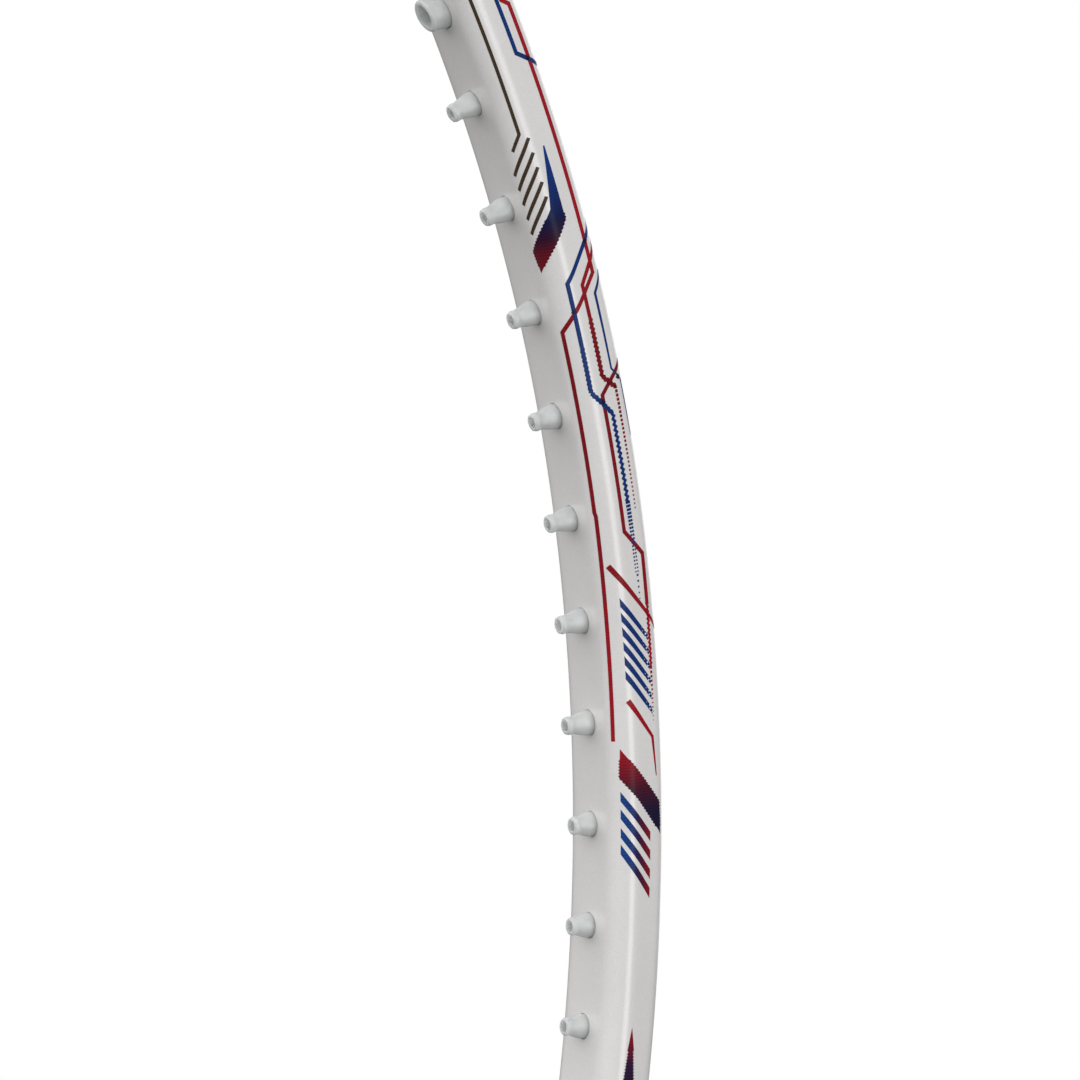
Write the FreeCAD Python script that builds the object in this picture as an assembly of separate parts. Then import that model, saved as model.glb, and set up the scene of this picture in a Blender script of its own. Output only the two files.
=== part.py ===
import FreeCAD, Part
import math
import os

# Badminton racket without strings: hollow oval head frame with grommets, T-joint, tubular shaft,
# cone, two-piece wooden handle, butt cap and wrapped grip. Millimetres.
#
# The origin is the centre of the butt's flat end face. +Z runs along the shaft to the head, +X runs across
# the head, and the string plane is XZ, with its front side at -Y.

Vec = FreeCAD.Vector

# Overall sizes
overall_length = 675.0
head_outer_width = 198.0

# Frame section. Radial means away from the head's middle in the string plane, depth means along Y.
frame_width = 5.6
frame_depth_inside = 10.6
frame_depth_outside = 8.8
frame_inside_radius = 2.2
frame_outside_radius = 1.3
frame_wall = 0.9
groove_width = 5.0
groove_floor_width = 4.7
groove_depth = 1.0
groove_lip_radius = 0.2
groove_floor_radius = 0.15
cavity_radius = 0.8

# Head outline on the section's middle: radii of the tangent arcs, and the angles of the outward normal
# from +X at which one arc hands over to the next.
side_radius = 212.0
upper_side_radius = 187.0
upper_corner_radius = 56.3
upper_angles = (9.5, 28.0, 62.0)
lower_side_radius = 140.0
lower_corner_radius = 70.0
lower_angles = (8.13, 30.0, 60.0)

# String holes
side_hole_pitch = 9.88
side_hole_count = 16
long_grommets_per_side = 7
first_side_hole_above_widest = 78.29
crown_hole_pitch = 6.8
crown_holes_per_side = 8
throat_first_hole_x = 8.6
throat_hole_pitch = 6.2
throat_holes_per_side = 8
corner_holes_per_side = 4

# Grommets
grommet_clearance = 0.06
flange_thickness = 0.75
seat_gap = 0.02
tip_round = 0.16
single_barrel_radius = 1.2
single_tip_radius = 0.78
single_bore_radius = 0.5
single_flange_radius = 1.85
long_barrel_length = 2.62
short_barrel_length = 2.15
shared_barrel_radius = 1.9
shared_tip_radius = 1.6
shared_bore_radius = 1.05
shared_flange_radius = 2.15
shared_barrel_length = 1.7

# T-joint, throat sleeve and shaft
joint_block_half_width = 12.0
joint_arm_length = 18.0
joint_fit = 0.08
joint_plain_half_width = 6.2
neck_length = 4.0
spigot_length = 38.0
shaft_outer_radius = 3.5
shaft_inner_radius = 2.3
shaft_insertion = 112.0
sleeve_length = 26.0
sleeve_top_half_width = 6.0
sleeve_top_half_depth = 4.2
sleeve_wall_at_end = 0.45
glue_gap = 0.04

# Handle
handle_length = 167.0
handle_width = 25.0
handle_depth = 22.0
handle_bevel = 6.6
handle_edge_radius = 1.0
nose_radius = 8.8
nose_length = 20.0
pilot_radius = 2.0
split_gap = 0.05

# Cone
cone_length = 40.0
cone_top_radius = 5.6
cone_bore_clearance = 0.06

# Butt cap, badge and nails
cap_flare = 3.0
cap_rim_height = 3.0
cap_height = 20.0
cap_floor = 2.5
cap_wall = 1.2
cap_neck_inset = 1.8
cap_edge_fillet = 1.2
badge_radius = 8.4
badge_recess = 0.8
badge_thickness = 0.7
badge_ring_width = 1.0
badge_dish_depth = 0.2
badge_gap = 0.1
nail_head_radius = 1.5
nail_head_thickness = 0.5
nail_shank_radius = 0.5
nail_length = 7.0
nail_height = 12.0
nail_fit = 0.03
nail_head_inset = 0.25

# Grip
grip_thickness = 1.7
grip_overlap_on_cone = 6.0
grip_gap = 0.05
tack_height = 34.0
tack_head_radius = 2.2
tack_head_thickness = 0.5
tack_shank_radius = 0.6
tack_length = 8.0
collar_tape_height = 12.0
collar_tape_thickness = 0.35

# Worked out from the sizes above
frame_half = frame_width / 2
side_middle_x = head_outer_width / 2 - frame_half
crown_middle_z = overall_length - frame_half
groove_floor = frame_half - groove_depth
cavity_outer = groove_floor - frame_wall
cavity_inner = -frame_half + frame_wall
cap_width = handle_width + 2 * cap_flare
cap_depth = handle_depth + 2 * cap_flare


def unit(angle):
    """Outward normal of the head outline at this angle from +X, in degrees."""
    a = math.radians(angle)
    return Vec(math.cos(a), 0, math.sin(a))


def edge_chain(points, radii):
    """Closed wire through the points, with each corner rounded to its radius, or sharp at radius 0."""
    count = len(points)
    starts, ends, arcs = [], [], []
    for i, corner in enumerate(points):
        before = (points[i - 1] - corner).normalize()
        after = (points[(i + 1) % count] - corner).normalize()
        if radii[i] <= 0:
            starts.append(corner)
            ends.append(corner)
            arcs.append(None)
            continue
        half = before.getAngle(after) / 2
        setback = radii[i] / math.tan(half)
        start, end = corner + before * setback, corner + after * setback
        middle_direction = (before + after).normalize()
        nearest = radii[i] / math.sin(half) - radii[i]
        starts.append(start)
        ends.append(end)
        arcs.append(Part.Arc(start, corner + middle_direction * nearest, end).toShape())
    edges = []
    for i in range(count):
        if arcs[i] is not None:
            edges.append(arcs[i])
        following = starts[(i + 1) % count]
        if ends[i].distanceToPoint(following) > 1e-6:
            edges.append(Part.LineSegment(ends[i], following).toShape())
    return Part.Wire(edges)


# ---- Head outline ----

class HeadArc:
    """One circular stretch of the right half of the head's outline."""

    def __init__(self, radius, centre, low, high):
        self.radius, self.centre, self.low, self.high = radius, centre, low, high

    def point(self, angle):
        return self.centre + unit(angle) * self.radius


def arc_chain(first, radii, angles, sign):
    """Arcs tangent to one another from the side arc towards the crown (sign 1) or the throat (sign -1).

    The last arc's centre lies on the racket's axis, so its radius follows from the others.
    """
    chain, last = [], first
    limits = list(angles) + [90.0]
    for i, limit in enumerate(limits[1:]):
        start = sign * limits[i]
        joint = last.point(start)
        radius = radii[i] if i < len(radii) else joint.x / math.cos(math.radians(start))
        centre = joint - unit(start) * radius
        low, high = sorted((start, sign * limit))
        last = HeadArc(radius, centre, low, high)
        chain.append(last)
    return chain


def head_arcs():
    """Arcs of the right half from crown to throat."""
    side = HeadArc(side_radius, Vec(side_middle_x - side_radius, 0, 0), -lower_angles[0], upper_angles[0])
    upper = arc_chain(side, [upper_side_radius, upper_corner_radius], upper_angles, 1)
    lower = arc_chain(side, [lower_side_radius, lower_corner_radius], lower_angles, -1)
    arcs = upper[::-1] + [side] + lower
    lift = crown_middle_z - arcs[0].point(90).z
    for arc in arcs:
        arc.centre = arc.centre + Vec(0, 0, lift)
    return arcs


arcs = head_arcs()
crown_arc, throat_arc = arcs[0], arcs[-1]
widest_z = arcs[3].centre.z
throat_z = throat_arc.point(-90).z


def angle_at_height(z):
    """Normal's angle where the right half of the outline crosses this height."""
    for arc in arcs:
        if arc.point(arc.low).z <= z <= arc.point(arc.high).z:
            return math.degrees(math.asin((z - arc.centre.z) / arc.radius))
    raise ValueError("height is off the head")


def angle_at_x(x, upper):
    """Normal's angle where the crown or throat stretch of the outline crosses this x."""
    for arc in arcs if upper else arcs[::-1]:
        a, b = arc.point(arc.low).x, arc.point(arc.high).x
        if min(a, b) <= x <= max(a, b):
            angle = math.degrees(math.acos((x - arc.centre.x) / arc.radius))
            return angle if upper else -angle
    raise ValueError("x is off the head")


def arc_length(angle):
    """Distance along the outline from the crown's top down to this normal angle."""
    total = 0.0
    for arc in arcs:
        if angle >= arc.high:
            break
        total += math.radians(arc.high - max(angle, arc.low)) * arc.radius
    return total


def angle_at_length(length):
    """Normal's angle at this distance along the outline from the crown's top."""
    for arc in arcs:
        span = math.radians(arc.high - arc.low) * arc.radius
        if length <= span:
            return arc.high - math.degrees(length / arc.radius)
        length -= span
    raise ValueError("length is past the throat")


def outline_at(angle):
    """Point of the outline on the right half with this normal angle."""
    for arc in arcs:
        if arc.low - 1e-9 <= angle <= arc.high + 1e-9:
            return arc.point(angle)
    raise ValueError("angle is off the head")


# ---- Frame section ----

def half_depth(radial):
    """Half of the frame's depth at this radial place, before its corners are rounded."""
    share = (radial + frame_half) / frame_width
    return (frame_depth_inside + (frame_depth_outside - frame_depth_inside) * share) / 2


def section_wire(corners):
    """Wire of a section that is symmetric about the string plane, from its +Y corners (radial, y, radius)."""
    mirrored = [(r, -y, radius) for r, y, radius in corners[::-1]]
    every = corners + mirrored
    return edge_chain([Vec(r, y, 0) for r, y, _ in every], [radius for _, _, radius in every])


def frame_corners():
    """Rounded corners of the frame's inner and outer edges."""
    return [
        (-frame_half, frame_depth_inside / 2, frame_inside_radius),
        (frame_half, frame_depth_outside / 2, frame_outside_radius),
    ]


def plain_section():
    return section_wire(frame_corners())


def grooved_section():
    """Frame section with the string groove in its outer face."""
    lip = (frame_half, groove_width / 2, groove_lip_radius)
    floor = (groove_floor, groove_floor_width / 2, groove_floor_radius)
    return section_wire(frame_corners() + [lip, floor])


def cavity_section(inset):
    """Section of the tube's hollow, drawn in by an inset."""
    return section_wire([
        (cavity_inner + inset, half_depth(cavity_inner) - frame_wall - inset, cavity_radius),
        (cavity_outer - inset, half_depth(cavity_outer) - frame_wall - inset, cavity_radius),
    ])


def swept(wire, arc, low, high):
    """Solid made by turning a section about one arc's centre from one normal angle to another."""
    face = Part.Face(wire)
    face.translate(Vec(arc.centre.x + arc.radius, 0, arc.centre.z))
    # The section is drawn in XY with its radial axis along X, and its depth is already along Y.
    face.rotate(arc.centre, Vec(0, -1, 0), low)
    return face.revolve(arc.centre, Vec(0, -1, 0), high - low)


def joined(shapes):
    """One shape fused from many, with the seams of continuous faces kept out."""
    shape = shapes[0].multiFuse(shapes[1:]) if len(shapes) > 1 else shapes[0]
    return shape.removeSplitter()


def mirrored(shape):
    """The shape's twin on the other side of the racket's axis."""
    return shape.mirror(Vec(0, 0, 0), Vec(1, 0, 0))


def loop_solid(wire, end_angle):
    """Section swept round the whole head, open at the throat from this normal angle of the throat arc."""
    pieces = [swept(wire, crown_arc, crown_arc.low, 180 - crown_arc.low)]
    for arc in arcs[1:]:
        low = max(arc.low, end_angle)
        piece = swept(wire, arc, low, arc.high)
        pieces += [piece, mirrored(piece)]
    return joined(pieces)


# ---- String holes and grommets ----

def hole_groups():
    """Normal angles of the right half's holes, by group, from crown to throat."""
    crown = [angle_at_x(crown_hole_pitch * (i + 0.5), True) for i in range(crown_holes_per_side)]
    top = widest_z + first_side_hole_above_widest
    side = [angle_at_height(top - i * side_hole_pitch) for i in range(side_hole_count)]
    throat_x = [throat_first_hole_x + i * throat_hole_pitch for i in range(throat_holes_per_side)]
    throat = [angle_at_x(x, False) for x in throat_x][::-1]

    def between(start, end):
        a, b = arc_length(start), arc_length(end)
        step = (b - a) / (corner_holes_per_side + 1)
        return [angle_at_length(a + step * (i + 1)) for i in range(corner_holes_per_side)]

    return {
        "crown": crown,
        "upper_corner": between(crown[-1], side[0]),
        "upper_side": side[:long_grommets_per_side],
        "lower_side": side[long_grommets_per_side:],
        "lower_corner": between(side[-1], throat[0]),
        "throat": throat,
    }


def along_normal(shape, angle):
    """Moves a shape drawn along +Z, with z 0 on the outline, so that its +Z is the outward normal."""
    placed = shape.copy()
    placed.rotate(Vec(0, 0, 0), Vec(0, 1, 0), 90 - angle)
    placed.translate(outline_at(angle))
    return placed


def turned(points):
    """Solid of revolution about Z, from corner points (radius, z) and (start, middle, end) arcs of them."""
    edges = []
    for item in points:
        vectors = [Vec(r, 0, z) for r, z in item]
        shape = Part.LineSegment(*vectors) if len(vectors) == 2 else Part.Arc(*vectors)
        edges.append(shape.toShape())
    return Part.Face(Part.Wire(edges)).revolve(Vec(0, 0, 0), Vec(0, 0, 1), 360)


def grommet(barrel, tip, bore, flange, exposed):
    """Nylon grommet: a flange in the outer groove and a barrel through both walls that tapers inside."""
    seat = groove_floor + seat_gap
    wall = -frame_half
    end = wall - exposed
    shoulder = end + tip_round
    middle_z = (wall + shoulder) / 2
    bulge = (barrel + tip) / 2 + (barrel - tip) * 0.14
    diagonal = tip_round * (1 - math.sqrt(0.5))
    rim = flange_thickness * 0.4
    return turned([
        ((bore, end), (bore, seat + flange_thickness)),
        ((bore, seat + flange_thickness), (flange - rim, seat + flange_thickness)),
        ((flange - rim, seat + flange_thickness),
         (flange - rim * (1 - math.sqrt(0.5)), seat + flange_thickness - rim * (1 - math.sqrt(0.5))),
         (flange, seat + flange_thickness - rim)),
        ((flange, seat + flange_thickness - rim), (flange, seat)),
        ((flange, seat), (barrel, seat)),
        ((barrel, seat), (barrel, wall)),
        ((barrel, wall), (bulge, middle_z), (tip, shoulder)),
        ((tip, shoulder), (tip - diagonal, end + diagonal), (tip - tip_round, end)),
        ((tip - tip_round, end), (bore, end)),
    ])


def grommet_for(group):
    """The grommet that a group of holes takes."""
    if group.endswith("corner"):
        return grommet(shared_barrel_radius, shared_tip_radius, shared_bore_radius,
                       shared_flange_radius, shared_barrel_length)
    exposed = long_barrel_length if group == "upper_side" else short_barrel_length
    return grommet(single_barrel_radius, single_tip_radius, single_bore_radius,
                   single_flange_radius, exposed)


def hole_for(group):
    """Drill that makes a group's holes through both walls."""
    barrel = shared_barrel_radius if group.endswith("corner") else single_barrel_radius
    reach = frame_half + 1
    return Part.makeCylinder(barrel + grommet_clearance, 2 * reach, Vec(0, 0, -reach))


groups = hole_groups()


def string_holes():
    """Every drill of the head, on both sides."""
    drills = []
    for group, angles in groups.items():
        drill = hole_for(group)
        for angle in angles:
            placed = along_normal(drill, angle)
            drills += [placed, mirrored(placed)]
    return Part.makeCompound(drills)


drills = string_holes()
block_angle = math.degrees(math.asin(joint_block_half_width / throat_arc.radius))


def head_frame():
    """Hollow carbon tube bent to the head's outline, drilled for strings, open at the T-joint."""
    end_angle = -90 + block_angle
    tube = loop_solid(grooved_section(), end_angle)
    hollow = loop_solid(cavity_section(0), end_angle)
    return tube.cut(hollow).cut(drills)


def grommet_nodes():
    """Grommets of each group and side, as separate solids in one shape each."""
    nodes = {}
    for group, angles in groups.items():
        drawn = grommet_for(group)
        right = [along_normal(drawn, angle) for angle in angles]
        nodes[f"grommets_{group}_right"] = Part.makeCompound(right)
        nodes[f"grommets_{group}_left"] = Part.makeCompound([mirrored(g) for g in right])
    return nodes


# ---- T-joint, sleeve and shaft ----

throat_outer_z = throat_z - frame_half
shaft_top_z = throat_outer_z - neck_length
handle_top_z = handle_length
shaft_bottom_z = handle_top_z - shaft_insertion


def t_joint():
    """Moulded T: a block with the frame's own section, an arm in each tube end and a spigot in the shaft."""
    plain_angle = math.degrees(math.asin(joint_plain_half_width / throat_arc.radius))
    arm_angle = block_angle + math.degrees(joint_arm_length / throat_arc.radius)
    block = swept(grooved_section(), throat_arc, -90 - block_angle, -90 + block_angle)
    plain = swept(plain_section(), throat_arc, -90 - plain_angle, -90 + plain_angle)
    arms = swept(cavity_section(joint_fit), throat_arc, -90 - arm_angle, -90 + arm_angle)
    neck = Part.makeCylinder(shaft_outer_radius, throat_z - shaft_top_z, Vec(0, 0, shaft_top_z))
    spigot_bottom = shaft_top_z - spigot_length
    spigot = Part.makeCylinder(shaft_inner_radius - glue_gap, throat_z - spigot_bottom,
                               Vec(0, 0, spigot_bottom))
    return block.multiFuse([plain, arms, neck, spigot]).removeSplitter().cut(drills)


def ellipse_wire(half_width, half_depth_y, z):
    """Closed ellipse in a level plane, with its long axis along X."""
    if half_width - half_depth_y < 1e-3:
        return Part.Wire(Part.Circle(Vec(0, 0, z), Vec(0, 0, 1), half_depth_y).toShape())
    return Part.Wire(Part.Ellipse(Vec(0, 0, z), half_width, half_depth_y).toShape())


def throat_sleeve():
    """Flared moulding that blends the shaft into the frame's underside."""
    top = throat_outer_z + 1.0
    bottom = throat_outer_z - sleeve_length
    end_radius = shaft_outer_radius + sleeve_wall_at_end
    # Share of the height from the bottom, and share of the way from the end's radius to the top's sizes
    stations = ((1.0, 1.0), (0.86, 0.55), (0.6, 0.22), (0.3, 0.06), (0.0, 0.0))
    wires = []
    for height, spread in stations:
        wide = end_radius + (sleeve_top_half_width - end_radius) * spread
        deep = end_radius + (sleeve_top_half_depth - end_radius) * spread
        wires.append(ellipse_wire(wide + 1e-2, deep, bottom + (top - bottom) * height))
    flare = Part.makeLoft(wires, True, False)
    span = math.degrees(math.asin(2 * sleeve_top_half_width / throat_arc.radius))
    rail = swept(plain_section(), throat_arc, -90 - span, -90 + span)
    bore = Part.makeCylinder(shaft_outer_radius + glue_gap, 2 * sleeve_length,
                             Vec(0, 0, throat_outer_z - 1.5 * sleeve_length))
    cut = flare.cut(rail).cut(bore)
    return max(cut.Solids, key=lambda solid: solid.Volume)


def shaft():
    """Carbon tube, glued over the T-joint's spigot above and into the handle below."""
    length = shaft_top_z - shaft_bottom_z
    base = Vec(0, 0, shaft_bottom_z)
    return Part.makeCylinder(shaft_outer_radius, length, base).cut(
        Part.makeCylinder(shaft_inner_radius, length, base))


# ---- Handle ----

def octagon(width, depth, z, edge_radius=handle_edge_radius):
    """Level octagon with wide flats at front and back and rounded edges."""
    x, y = width / 2, depth / 2
    growth = (width + depth - handle_width - handle_depth) / 4
    bevel = handle_bevel + growth * (2 - math.sqrt(2))
    corners = [Vec(x - bevel, -y, z), Vec(x, -y + bevel, z), Vec(x, y - bevel, z), Vec(x - bevel, y, z),
               Vec(bevel - x, y, z), Vec(-x, y - bevel, z), Vec(-x, bevel - y, z), Vec(bevel - x, -y, z)]
    return edge_chain(corners, [edge_radius] * len(corners))


def octagon_loft(*sections):
    """Solid through octagons given as (width, depth, z)."""
    return Part.makeLoft([octagon(*section) for section in sections], True, True)


def grown(section, margin):
    """An octagon section widened by a margin all round."""
    width, depth, z = section
    return (width + 2 * margin, depth + 2 * margin, z)


cap_neck_low = (cap_width - 2 * cap_neck_inset, cap_depth - 2 * cap_neck_inset, cap_rim_height)
handle_low = (handle_width, handle_depth, cap_height)
handle_high = (handle_width, handle_depth, handle_top_z)
rebate_low = (handle_width - 2 * cap_wall, handle_depth - 2 * cap_wall, cap_floor)
rebate_high = (handle_width - 2 * cap_wall, handle_depth - 2 * cap_wall, cap_height)


def handle_halves():
    """Front and back halves of the wooden handle, glued along the string plane round the shaft."""
    body = octagon_loft((handle_width, handle_depth, cap_height + glue_gap), handle_high)
    end = octagon_loft((*rebate_low[:2], cap_floor + glue_gap), (*rebate_high[:2], cap_height + 1))
    nose = Part.makeCylinder(nose_radius, nose_length + 1, Vec(0, 0, handle_top_z - 1))
    top = handle_top_z + nose_length
    shaft_bore = Part.makeCylinder(shaft_outer_radius + glue_gap, top - shaft_bottom_z + glue_gap,
                                   Vec(0, 0, shaft_bottom_z - glue_gap))
    pilot = Part.makeCylinder(pilot_radius, shaft_bottom_z)
    wood = body.fuse(end).fuse(nose).cut(shaft_bore).cut(pilot).cut(nail_holes())
    reach = handle_width
    slab = Part.makeBox(2 * reach, reach, top + reach, Vec(-reach, split_gap / 2, -1))
    back = wood.common(slab)
    front = wood.common(slab.mirror(Vec(0, 0, 0), Vec(0, 1, 0)))
    return front, back


def shaft_cone():
    """Moulded cone that runs from the handle's octagon to a round mouth at the shaft."""
    low, high = handle_top_z, handle_top_z + cone_length
    widest = handle_width / 2 + 1.5
    straight = low + grip_overlap_on_cone + 2
    curve = Part.BSplineCurve()
    curve.interpolate([
        Vec(widest, 0, straight),
        Vec(widest * 0.8, 0, straight + cone_length * 0.16),
        Vec(widest * 0.58, 0, straight + cone_length * 0.4),
        Vec(cone_top_radius, 0, high - 0.8),
    ])
    edges = [
        Part.LineSegment(Vec(0, 0, low), Vec(widest, 0, low)).toShape(),
        Part.LineSegment(Vec(widest, 0, low), Vec(widest, 0, straight)).toShape(),
        curve.toShape(),
        Part.LineSegment(Vec(cone_top_radius, 0, high - 0.8), Vec(cone_top_radius - 0.6, 0, high)).toShape(),
        Part.LineSegment(Vec(cone_top_radius - 0.6, 0, high), Vec(0, 0, high)).toShape(),
        Part.LineSegment(Vec(0, 0, high), Vec(0, 0, low)).toShape(),
    ]
    turned_body = Part.Face(Part.Wire(edges)).revolve(Vec(0, 0, 0), Vec(0, 0, 1), 360)
    prism = octagon_loft(handle_high, (handle_width, handle_depth, high + 1))
    socket = Part.makeCylinder(nose_radius + glue_gap, nose_length + glue_gap, Vec(0, 0, low))
    mouth = Part.makeCylinder(shaft_outer_radius + cone_bore_clearance, cone_length + 2, Vec(0, 0, low - 1))
    return turned_body.common(prism).cut(socket).cut(mouth)


# ---- Butt cap, badge and nails ----

def nail(radius, thickness, shank, length):
    """Flat-headed nail pointing to -Z, with the top of its head at z 0."""
    head = Part.makeCylinder(radius, thickness, Vec(0, 0, -thickness))
    return head.fuse(Part.makeCone(0.1, shank, length, Vec(0, 0, -length)))


def on_side(shape, side, face_x, height):
    """Turns a shape drawn along +Z so that its +Z points out of the handle's left or right side."""
    placed = shape.copy()
    placed.rotate(Vec(0, 0, 0), Vec(0, 1, 0), 90 * side)
    placed.translate(Vec(side * face_x, 0, height))
    return placed


def cap_half_width(z):
    """Half width of the butt cap's neck at this height."""
    share = (z - cap_rim_height) / (cap_height - cap_rim_height)
    return (cap_neck_low[0] + (handle_width - cap_neck_low[0]) * share) / 2


nail_face = cap_half_width(nail_height) - nail_head_inset


def nail_pair(extra=0.0):
    drawn = nail(nail_head_radius + extra, nail_head_thickness + extra,
                 nail_shank_radius + extra, nail_length + extra)
    return [on_side(drawn, side, nail_face, nail_height) for side in (-1, 1)]


def nail_holes():
    """Room for the two nails, which run in from the cap's left and right sides."""
    return Part.makeCompound(nail_pair(nail_fit))


def butt_cap():
    """Moulded cup over the handle's end, with a proud rim and a round recess for the badge."""
    rim = octagon_loft((cap_width, cap_depth, 0), (cap_width, cap_depth, cap_rim_height))
    level_edges = [e for e in rim.Edges if abs(e.BoundBox.ZMax - e.BoundBox.ZMin) < 1e-6]
    rim = rim.makeFillet(cap_edge_fillet, [e for e in level_edges if e.BoundBox.ZMax < 1e-6])
    neck = octagon_loft(cap_neck_low, handle_low)
    pocket = octagon_loft(rebate_low, (*rebate_high[:2], cap_height + 1))
    recess = Part.makeCylinder(badge_radius + badge_gap, badge_recess)
    cup = rim.fuse(neck).removeSplitter().cut(pocket).cut(recess)
    above_heads = Part.makeCylinder(nail_head_radius + nail_fit, 2)
    mouths = [on_side(above_heads, side, nail_face, nail_height) for side in (-1, 1)]
    return cup.cut(nail_holes()).cut(Part.makeCompound(mouths))


def butt_badge():
    """Thin round badge with a raised ring, set in the butt cap's recess."""
    outer = badge_recess - badge_thickness
    disc = Part.makeCylinder(badge_radius, badge_thickness, Vec(0, 0, outer))
    dish = Part.makeCylinder(badge_radius - badge_ring_width, badge_dish_depth, Vec(0, 0, outer))
    return disc.cut(dish)


# ---- Grip ----

def grip_path(margin):
    """Octagons of the grip's inner face, grown by a margin."""
    top = handle_top_z + grip_overlap_on_cone
    sections = [
        (cap_neck_low[0], cap_neck_low[1], cap_rim_height + grip_gap),
        handle_low,
        (handle_width, handle_depth, top),
    ]
    return [grown(section, margin) for section in sections]


def grip_solid(margin):
    a, b, c = grip_path(margin)
    return octagon_loft(a, b).fuse(octagon_loft(b, c)).removeSplitter()


def tack(extra=0.0):
    """Flat tack that holds the start of the grip on the back of the handle."""
    drawn = nail(tack_head_radius + extra, tack_head_thickness, tack_shank_radius + extra, tack_length + extra)
    drawn.rotate(Vec(0, 0, 0), Vec(1, 0, 0), -90)
    drawn.translate(Vec(0, handle_depth / 2 + tack_head_thickness + extra, tack_height))
    return drawn


def grip():
    """Soft wrapped grip from the butt cap's rim to the cone."""
    outer, inner = grip_solid(grip_gap + grip_thickness), grip_solid(grip_gap)
    return outer.cut(inner).cut(tack(0.05))


def collar_tape():
    """Adhesive tape band that closes the grip's upper end."""
    top = handle_top_z + grip_overlap_on_cone
    margin = 2 * grip_gap + grip_thickness
    low = grown((handle_width, handle_depth, top - collar_tape_height), margin)
    high = grown((handle_width, handle_depth, top), margin)
    outside = [grown(section, collar_tape_thickness) for section in (low, high)]
    return octagon_loft(*outside).cut(octagon_loft(low, high))


def build():
    """All the racket's pieces by name."""
    front, back = handle_halves()
    tack_solid = tack()
    nodes = {
        "head_frame": head_frame(),
        "t_joint": t_joint(),
        "throat_sleeve": throat_sleeve(),
        "shaft": shaft(),
        "shaft_cone": shaft_cone(),
        "handle_half_front": front,
        "handle_half_back": back.cut(tack(0.03)),
        "butt_cap": butt_cap(),
        "butt_cap_nails": Part.makeCompound(nail_pair()),
        "butt_badge": butt_badge(),
        "grip_tack": tack_solid,
        "grip": grip(),
        "collar_tape": collar_tape(),
    }
    nodes.update(grommet_nodes())
    return nodes


def main():
    os.makedirs("parts", exist_ok=True)
    print("widest z", round(widest_z, 3), "throat z", round(throat_z, 3))
    print("arc radii", [round(arc.radius, 2) for arc in arcs])
    for name, shape in build().items():
        solids = shape.Solids
        good = all(solid.isValid() and solid.Volume > 0 for solid in solids)
        print(f"{name:30s} solids {len(solids):3d} valid {good} volume {shape.Volume / 1000:8.3f} cm3")
        shape.exportStep(f"parts/{name}.step")


main()
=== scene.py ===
import math

import bmesh
import bpy
from mathutils import Matrix, Vector
from mathutils.bvhtree import BVHTree


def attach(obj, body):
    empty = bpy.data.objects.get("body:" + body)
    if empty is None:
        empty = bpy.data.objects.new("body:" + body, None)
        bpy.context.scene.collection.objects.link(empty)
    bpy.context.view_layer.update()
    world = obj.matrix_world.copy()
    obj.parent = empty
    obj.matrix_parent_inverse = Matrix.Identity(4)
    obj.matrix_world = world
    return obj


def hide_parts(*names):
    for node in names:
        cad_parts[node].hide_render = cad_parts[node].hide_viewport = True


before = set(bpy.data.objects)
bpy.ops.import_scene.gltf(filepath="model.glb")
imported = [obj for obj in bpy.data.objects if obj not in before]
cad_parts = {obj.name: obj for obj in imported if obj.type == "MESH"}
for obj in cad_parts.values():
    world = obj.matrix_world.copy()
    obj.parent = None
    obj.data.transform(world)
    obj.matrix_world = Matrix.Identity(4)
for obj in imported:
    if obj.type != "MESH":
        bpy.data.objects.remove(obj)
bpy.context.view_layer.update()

# Looks for an unstrung badminton racket: pearl lacquered carbon head with painted lines, nylon grommets,
# lacquered shaft and cone, and a wound polyurethane grip. Metres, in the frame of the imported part:
# +Z along the shaft to the head, +X across the head, front at -Y.

MM = 0.001


# ---- Materials ----

def srgb(code):
    """Linear colour, with alpha, from an sRGB hex code."""
    def linear(c):
        return c / 12.92 if c <= 0.04045 else ((c + 0.055) / 1.055) ** 2.4
    return [linear(int(code[i:i + 2], 16) / 255) for i in (1, 3, 5)] + [1.0]


def node(tree, kind, settings=None, links=None):
    """Adds a shader node, sets its properties and sockets, and links its inputs."""
    made = tree.nodes.new(kind)
    for key, value in (settings or {}).items():
        if isinstance(key, str) and hasattr(made, key):
            setattr(made, key, value)
        else:
            made.inputs[key].default_value = value
    for key, source in (links or {}).items():
        tree.links.new(source, made.inputs[key])
    return made


def material(name, settings):
    """Empty material with one Principled shader, and its tree."""
    made = bpy.data.materials.new(name)
    made.use_nodes = True
    tree = made.node_tree
    tree.nodes.clear()
    shader = node(tree, "ShaderNodeBsdfPrincipled", settings)
    node(tree, "ShaderNodeOutputMaterial", None, {"Surface": shader.outputs[0]})
    return made, tree, shader


def ramp(tree, source, stops):
    """Colour ramp through (place, colour) stops."""
    made = node(tree, "ShaderNodeValToRGB", None, {"Fac": source})
    band = made.color_ramp
    while len(band.elements) < len(stops):
        band.elements.new(0.5)
    for element, (place, colour) in zip(band.elements, stops):
        element.position = place
        element.color = colour
    return made.outputs[0]


def grey(value):
    return [value, value, value, 1.0]


CLEARCOAT = {"Roughness": 0.45, "IOR": 1.5, "Coat Weight": 1.0, "Coat Roughness": 0.22, "Coat IOR": 1.62}
# Ink lies dark and flat under the clear, with little gloss of its own
INK_COAT = {"Roughness": 0.5, "IOR": 1.5, "Specular IOR Level": 0.15,
            "Coat Weight": 0.1, "Coat Roughness": 0.15, "Coat IOR": 1.5}


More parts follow.
